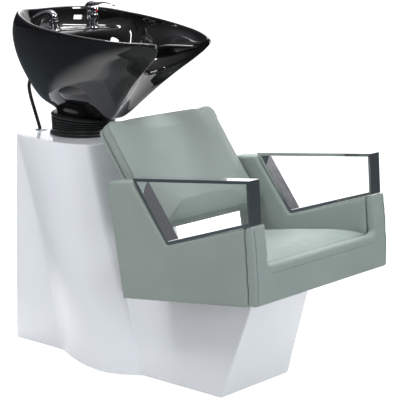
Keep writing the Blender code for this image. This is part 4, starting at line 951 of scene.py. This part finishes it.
def welded(node):
    bm = bmesh.new()
    bm.from_mesh(NODES[node].data)
    bmesh.ops.remove_doubles(bm, verts=bm.verts, dist=1e-5)
    return bm


def remeshed(name, node, voxel, rounds=0):
    """A closed, even quad mesh of a CAD node's shape, with its edges softened if wanted."""
    obj = piece(name, welded(node), LEATHER, 0)
    mod = obj.modifiers.new("voxels", "REMESH")
    mod.mode, mod.voxel_size, mod.adaptivity = "VOXEL", voxel, 0.0
    settle(obj, 0)
    relax(obj, rounds)
    return obj


def inflate(obj, keep, pinned):
    """Blow the cover up as cloth; keep scales the swelling per point, pinned points stay."""
    rest = points_of(obj)
    group = obj.vertex_groups.new(name="pinned")
    group.add([int(i) for i in np.nonzero(pinned)[0]], 1.0, "REPLACE")
    mod = obj.modifiers.new("cloth", "CLOTH")
    for name, value in CLOTH.items():
        setattr(mod.settings, name, value)
    mod.settings.effector_weights.gravity = 0.0
    mod.collision_settings.use_collision = False
    mod.point_cache.frame_start, mod.point_cache.frame_end = 1, CLOTH_FRAMES
    for number in range(1, CLOTH_FRAMES + 1):
        SCENE.frame_set(number)
    swollen = obj.evaluated_get(bpy.context.evaluated_depsgraph_get())
    move = vectors_of(swollen.to_mesh()) - rest
    swollen.to_mesh_clear()
    obj.modifiers.clear()
    obj.vertex_groups.clear()
    SCENE.frame_set(1)
    length = np.linalg.norm(move, axis=1, keepdims=True)
    move *= np.minimum(1.0, SWELL_LIMIT / np.maximum(length, 1e-9)) * keep
    put_points(obj, rest + move)


def crown(obj, direction, amount, reach=0.030, rim_cos=0.75):
    """Dome a flat cover: points move out with their distance from the cover's edge."""
    direction = np.array(direction, float)
    points, facing = points_of(obj), normals_of(obj) @ direction
    edge = np.nonzero(facing < rim_cos)[0]
    tree = KDTree(len(edge))
    for k, i in enumerate(edge):
        tree.insert(points[i], k)
    tree.balance()
    for i in np.nonzero(facing >= rim_cos)[0]:
        away = tree.find(points[i])[2]
        points[i] += direction * amount * (1 - math.exp(-away / reach))
    put_points(obj, points)


def surface(obj):
    graph = bpy.context.evaluated_depsgraph_get()
    graph.update()
    return BVHTree.FromObject(obj, graph)


def project(tree, rays):
    """Points where rays, given as (origin, direction), meet a surface, with its normals."""
    found = []
    for origin, direction in rays:
        spot, normal, _, _ = tree.ray_cast(Vector(origin), Vector(direction).normalized())
        if spot is not None:
            found.append((spot, normal))
    return found


def even(path, step, closed=False):
    """The same path with points a step apart; each point is (place, normal)."""
    line = list(path) + ([path[0]] if closed else [])
    out, carry = [line[0]], 0.0
    for (a, na), (b, nb) in zip(line, line[1:]):
        length = (b - a).length
        along = step - carry
        while along <= length:
            f = along / length
            out.append((a.lerp(b, f), na.lerp(nb, f).normalized()))
            along += step
        carry = length - (along - step)
    return out


def sewn(obj):
    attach(obj, "base")


def welt(name, path, radius, sink, closed=False):
    """A rolled seam along a surface path."""
    line = even(path, 0.004, closed)
    last = len(line) - 1
    places = [p - n * sink for p, n in line]
    for _ in range(3):
        places = [here if not closed and i in (0, last) else
                  (places[i - 1] + 2 * here + places[(i + 1) % (last + 1)]) / 4
                  for i, here in enumerate(places)]
    rings = []
    for i, here in enumerate(places):
        before = places[i - 1] if closed or i else here
        after = places[(i + 1) % (last + 1)] if closed or i < last else here
        normal = line[i][1]
        side = (after - before).normalized().cross(normal).normalized()
        rings.append(hoop(here, side, normal, radius, 10))
    # Its darker leather is painted shade along the seam.
    sewn(piece(name, loft(rings, wrap=closed), SHADED_SEAM, 0))


STITCH_PITCH, STITCH_LENGTH, THREAD_R = 0.0055, 0.0036, 0.00042
STITCH_SHAPE = ((-0.5, 0.25), (-0.38, 0.9), (0.0, 1.0), (0.38, 0.9), (0.5, 0.25))


def stitches(name, path, aside, closed=False):
    """Rows of short threads beside a seam; aside is how far to its side."""
    line = even(path, STITCH_PITCH, closed)
    bm = bmesh.new()
    for (here, normal), (there, _) in zip(line, line[1:]):
        ahead = (there - here).normalized()
        side = ahead.cross(normal).normalized()
        centre = here + side * aside + normal * THREAD_R * 0.3
        rings = []
        for share, size in STITCH_SHAPE:
            dip = -THREAD_R * 1.6 * (2 * abs(share)) ** 3
            middle = centre + ahead * (share * STITCH_LENGTH) + normal * dip
            rings.append(hoop(middle, side, normal, THREAD_R * size, 6))
        loft(rings, bm=bm)
    sewn(piece(name, bm, THREAD, 0))


def upholstered(obj, node):
    stands_for(obj, node, "base")


def seat():
    cushion = remeshed("seat_pad", "seat_cushion", 0.005)
    facing = normals_of(cushion)
    relax(cushion, 6)
    height = points_of(cushion)[:, 2]
    rise = np.clip((height - height.min()) / (height.max() - height.min()), 0, 1)
    sideways = np.full_like(rise, 0.15)
    keep = np.column_stack([sideways, sideways, np.clip(rise * 1.4, 0, 1) * 0.6])
    inflate(cushion, keep, facing[:, 2] < -0.5)
    subdivide(cushion)
    upholstered(cushion, "seat_cushion")


def backrest():
    cushion = remeshed("backrest_pad", "backrest_cushion", 0.005)
    facing = normals_of(cushion)
    relax(cushion, 5)
    points = points_of(cushion)
    out = (points - np.array(BACK_FOOT)) @ np.array(BACK_OUT)
    front = np.clip(1 - out / 0.040, 0, 1)
    keep = (0.10 + 0.45 * front)[:, None]
    inflate(cushion, keep, facing @ np.array(BACK_OUT) > 0.5)
    subdivide(cushion)
    upholstered(cushion, "backrest_cushion")
    board = remeshed("backrest_shell", "backrest_board", 0.0035, 4)
    upholstered(board, "backrest_board")

    tree = surface(cushion)
    centre = BACK_FOOT + BACK_UP * (BACK_LENGTH / 2) + BACK_OUT * 0.0135
    rays = []
    for a in turns(240):
        c, s = squarish(a, 0.25)
        spot = Vector((BACK_HALF * c, 0, 0)) + BACK_UP * (BACK_LENGTH / 2 * s)
        rays.append((centre + spot * 1.3, -spot))
    loop = project(tree, rays)
    welt("backrest_welt", loop, 0.0016, 0.0004, closed=True)
    stitches("backrest_stitching", loop, 0.0042, closed=True)


def panels():
    for side, sign in (("right", -1), ("left", 1)):
        node = "side_panel_" + side
        pad = remeshed("arm_side_" + side, node, 0.0045, 5)
        crown(pad, (sign, 0, 0), 0.0022)
        crown(pad, (-sign, 0, 0), 0.0012)
        subdivide(pad)
        upholstered(pad, node)

    front = remeshed("front_apron", "front_panel", 0.0045, 4)
    points = points_of(front)
    top = np.exp(-((points[:, 2] - 0.449) / 0.016) ** 2) * (np.abs(points[:, 0]) < 0.262)
    relax(front, 22, 0.5 * top)
    subdivide(front)
    upholstered(front, "front_panel")
    tree = surface(front)
    for side, sign in (("right", -1), ("left", 1)):
        x = sign * (CHAIR_HALF - 0.009)
        rays = [((x, -0.70, z), (0, 1, 0)) for z in np.linspace(0.349, 0.553, 60)]
        rays += [((x, y, 0.70), (0, 0, -1)) for y in np.linspace(-0.540, -0.526, 5)]
        path = project(tree, rays)
        welt("front_welt_" + side, path, 0.0015, 0.0003)
        stitches("front_stitching_" + side, path, -sign * 0.0042)
    rays = [((x, -0.70, 0.4245), (0, 1, 0)) for x in np.linspace(-0.236, 0.236, 90)]
    path = project(tree, rays)
    welt("apron_seam", path, 0.0010, 0.0004)
    stitches("apron_stitching", path, 0.0034)


seat()
backrest()
panels()


# ---------------- taps
def refined(name, node, body):
    """A finer copy of a turned CAD piece: same shape, eased edges, rounder."""
    bm = welded(node)
    bmesh.ops.dissolve_limit(bm, angle_limit=math.radians(0.6), verts=bm.verts, edges=bm.edges)
    obj = piece(name, bm, CHROME, 30)
    bevel(obj, 0.0004, 2, 30)
    subdivide(obj, 40)
    stands_for(obj, node, body)


# y past the mixer's middle, rise, half width and thickness along the lever
LEVER = ((0.018, 0.000, 0.0165, 0.0010), (0.010, 0.001, 0.0185, 0.0140),
         (-0.004, 0.002, 0.0185, 0.0175), (-0.018, 0.004, 0.0150, 0.0140),
         (-0.034, 0.010, 0.0085, 0.0070), (-0.054, 0.0135, 0.0070, 0.0052),
         (-0.074, 0.0125, 0.0080, 0.0048), (-0.090, 0.0090, 0.0085, 0.0045),
         (-0.098, 0.0065, 0.0055, 0.0030))


def lever():
    z = TAP_DECK_Z + 0.0012 + 0.0453 + 0.0203
    rings = []
    for k in range(57):
        y, rise, half, thick = spline(LEVER, k / 56)
        rings.append([(MIXER_X + max(half, 0.001) * math.cos(a), TAP_Y + y,
                       z + rise + thick * 0.5 + thick * 0.5 * math.sin(a))
                      for a in turns(28)])
    stands_for(piece("tap_lever", loft(rings), CHROME), "mixer_lever", "lever")


# y past the holder's middle, rise, radius and tilt in degrees along the handset
HANDSET_BEND = ((0.0, 0.0, 0.0105, 90), (0.0015, 0.0050, 0.0115, 70),
                (0.0065, 0.0095, 0.0115, 40), (0.0150, 0.0118, 0.0112, 8),
                (0.0300, 0.0100, 0.0115, -12), (0.0480, 0.0040, 0.0135, -22),
                (0.0650, -0.0045, 0.0170, -32), (0.0780, -0.0145, 0.0195, -40),
                (0.0815, -0.0175, 0.0195, -40))


def handset():
    z = TAP_DECK_Z + 0.0012 + 0.0345 + 0.006 + GAP
    rings = []
    for k in range(65):
        y, rise, radius, tilt = spline(HANDSET_BEND, k / 64)
        a = math.radians(tilt)
        across = Vector((0, -math.sin(a), math.cos(a)))
        rings.append(hoop(Vector((HANDSET_X, TAP_Y + y, z + rise)), Vector((1, 0, 0)), across,
                          radius, 36))
    stands_for(piece("shower_handset", loft(rings), CHROME), "handset_body", "handset")


def taps():
    lever()
    handset()
    for name, node, body in (("mixer_column", "mixer_body", "basin"),
                             ("mixer_base", "mixer_flange", "basin"),
                             ("mixer_cap_block", "mixer_head", "mixer_cap"),
                             ("handset_socket", "handset_holder", "basin"),
                             ("hose_cone", "hose_nut", "handset"),
                             ("deck_gland", "hose_gland", "base")):
        refined(name, node, body)


taps()


# ---------------- floor and light
BACKDROP = Vector((math.cos(math.radians(15)), math.sin(math.radians(15)), 0.0))
BACKDROP_EDGE = (0.76, 0.86)
PAPER_CENTRE, PAPER_EDGE = (0.45, 0.25, 0.0), (1.3, 0.7)
FLOOR_HALF, FLOOR_LIFT, FLOOR_GLOW = 60.0, 0.85, 1.05
SKY_DIFFUSE = ((0.0, (0.42, 0.425, 0.44)), (0.3, (0.50, 0.505, 0.52)), (1.0, (0.80, 0.805, 0.83)))
SKY_DARK_SIDE = ((0.0, (0.012, 0.012, 0.014)), (0.35, (0.03, 0.03, 0.035)),
                 (1.0, (0.35, 0.35, 0.37)))
SKY_BACKDROP = ((0.0, (1.7, 1.72, 1.75)), (0.5, (1.5, 1.52, 1.55)), (0.8, (0.6, 0.61, 0.63)),
                (1.0, (0.35, 0.35, 0.37)))
WHITE_LIGHT = (1, 1, 1)
# name, place, aim, size, power, colour, and whether it's for reflections only or never in them
LIGHTS = (("front", (-0.9, -4.6, 1.5), (0, -0.2, 0.45), (2.0, 1.4), 74, (0.93, 0.98, 1.0), False),
          ("high", (-2.2, 0.55, 3.1), (0, -0.1, 0.5), (1.3, 1.3), 45, (1.0, 0.99, 0.97), False),
          ("behind", (0.6, 1.3, 3.4), (0, -0.3, 0.45), (1.2, 1.2), 135, (0.97, 0.985, 1.0), False),
          ("window_front", (0.85, -2.35, 1.97), (0.16, 0.38, 0.95), (0.75, 0.42), 26,
           WHITE_LIGHT, True),
          ("window_left", (-1.5, -1.15, 2.9), (0.2, 0.35, 0.94), (0.28, 0.8), 16,
           WHITE_LIGHT, True),
          ("window_top", (0.8, 0.9, 3.9), (0.08, 0.53, 1.0), (0.9, 0.5), 26, WHITE_LIGHT, True))


def towards_backdrop(tree):
    """1 where a direction heads for the white backdrop, 0 for the dark of the studio."""
    flat = tree.vector_maths("MULTIPLY", tree.place, (1, 1, 0))
    unit = tree.vector_maths("NORMALIZE", flat, (0, 0, 0))
    dot = tree.vector_maths("DOT_PRODUCT", unit, BACKDROP, "Value")
    return tree.remap(dot, *BACKDROP_EDGE, easing="SMOOTHSTEP")


def floor():
    """Pale to the camera; in reflections white paper round the unit, in a dark room."""
    look = Look("pale_floor")
    tone = look.colour(look.noise(1.4, 3), (0.3, (0.50, 0.503, 0.506)),
                       (0.7, (0.53, 0.532, 0.536)))
    away = look.vector_maths("DISTANCE", look.place, PAPER_CENTRE, "Value")
    side = look.larger(towards_backdrop(look),
                       look.remap(away, *PAPER_EDGE, easing="SMOOTHSTEP"))
    seen = look.colour(side, (0.0, (0.045, 0.06, 0.066)), (1.0, (0.12, 0.12, 0.125)))
    glossy = look.ray("Glossy")
    tone = look.blend(glossy, tone, seen)
    lift = look.plus(look.times(look.times(glossy, side), FLOOR_GLOW),
                     look.times(look.ray("Camera"), FLOOR_LIFT))
    look.shader.inputs["Emission Color"].default_value = (1, 1, 1, 1)
    look.links.new(lift, look.shader.inputs["Emission Strength"])
    rough = look.remap(look.noise(9, 4), 0.3, 0.7, 0.7, 0.85)
    bm = bmesh.new()
    bm.faces.new([bm.verts.new((x * FLOOR_HALF, y * FLOOR_HALF, 0))
                  for x, y in ((-1, -1), (1, -1), (1, 1), (-1, 1))])
    piece("floor", bm, look.finish(tone, rough), 0)


def softbox(name, place, aim, size, power, colour, mirrored):
    data = bpy.data.lights.new(name, "AREA")
    data.shape, data.size, data.size_y = "RECTANGLE", *size
    data.energy, data.color = power, colour
    obj = bpy.data.objects.new(name, data)
    obj.visible_glossy = mirrored
    obj.visible_diffuse = not mirrored
    obj.visible_camera = False
    put_in_scene(obj, place, Vector(aim) - Vector(place))


def world():
    """Even studio light; reflections see a white backdrop and a dark room before it."""
    SCENE.world = bpy.data.worlds.new("studio")
    SCENE.world.use_nodes = True
    tree = Nodes(SCENE.world.node_tree, "Generated")
    height = tree.height()
    even_light, dark, bright = (tree.colour(height, *stops)
                                for stops in (SKY_DIFFUSE, SKY_DARK_SIDE, SKY_BACKDROP))
    shiny = tree.blend(towards_backdrop(tree), dark, bright)
    tree.links.new(tree.blend(tree.ray("Glossy"), even_light, shiny),
                   tree.nodes["Background"].inputs["Color"])


floor()
world()
for light in LIGHTS:
    softbox(*light)
SCENE.view_settings.view_transform = "Standard"
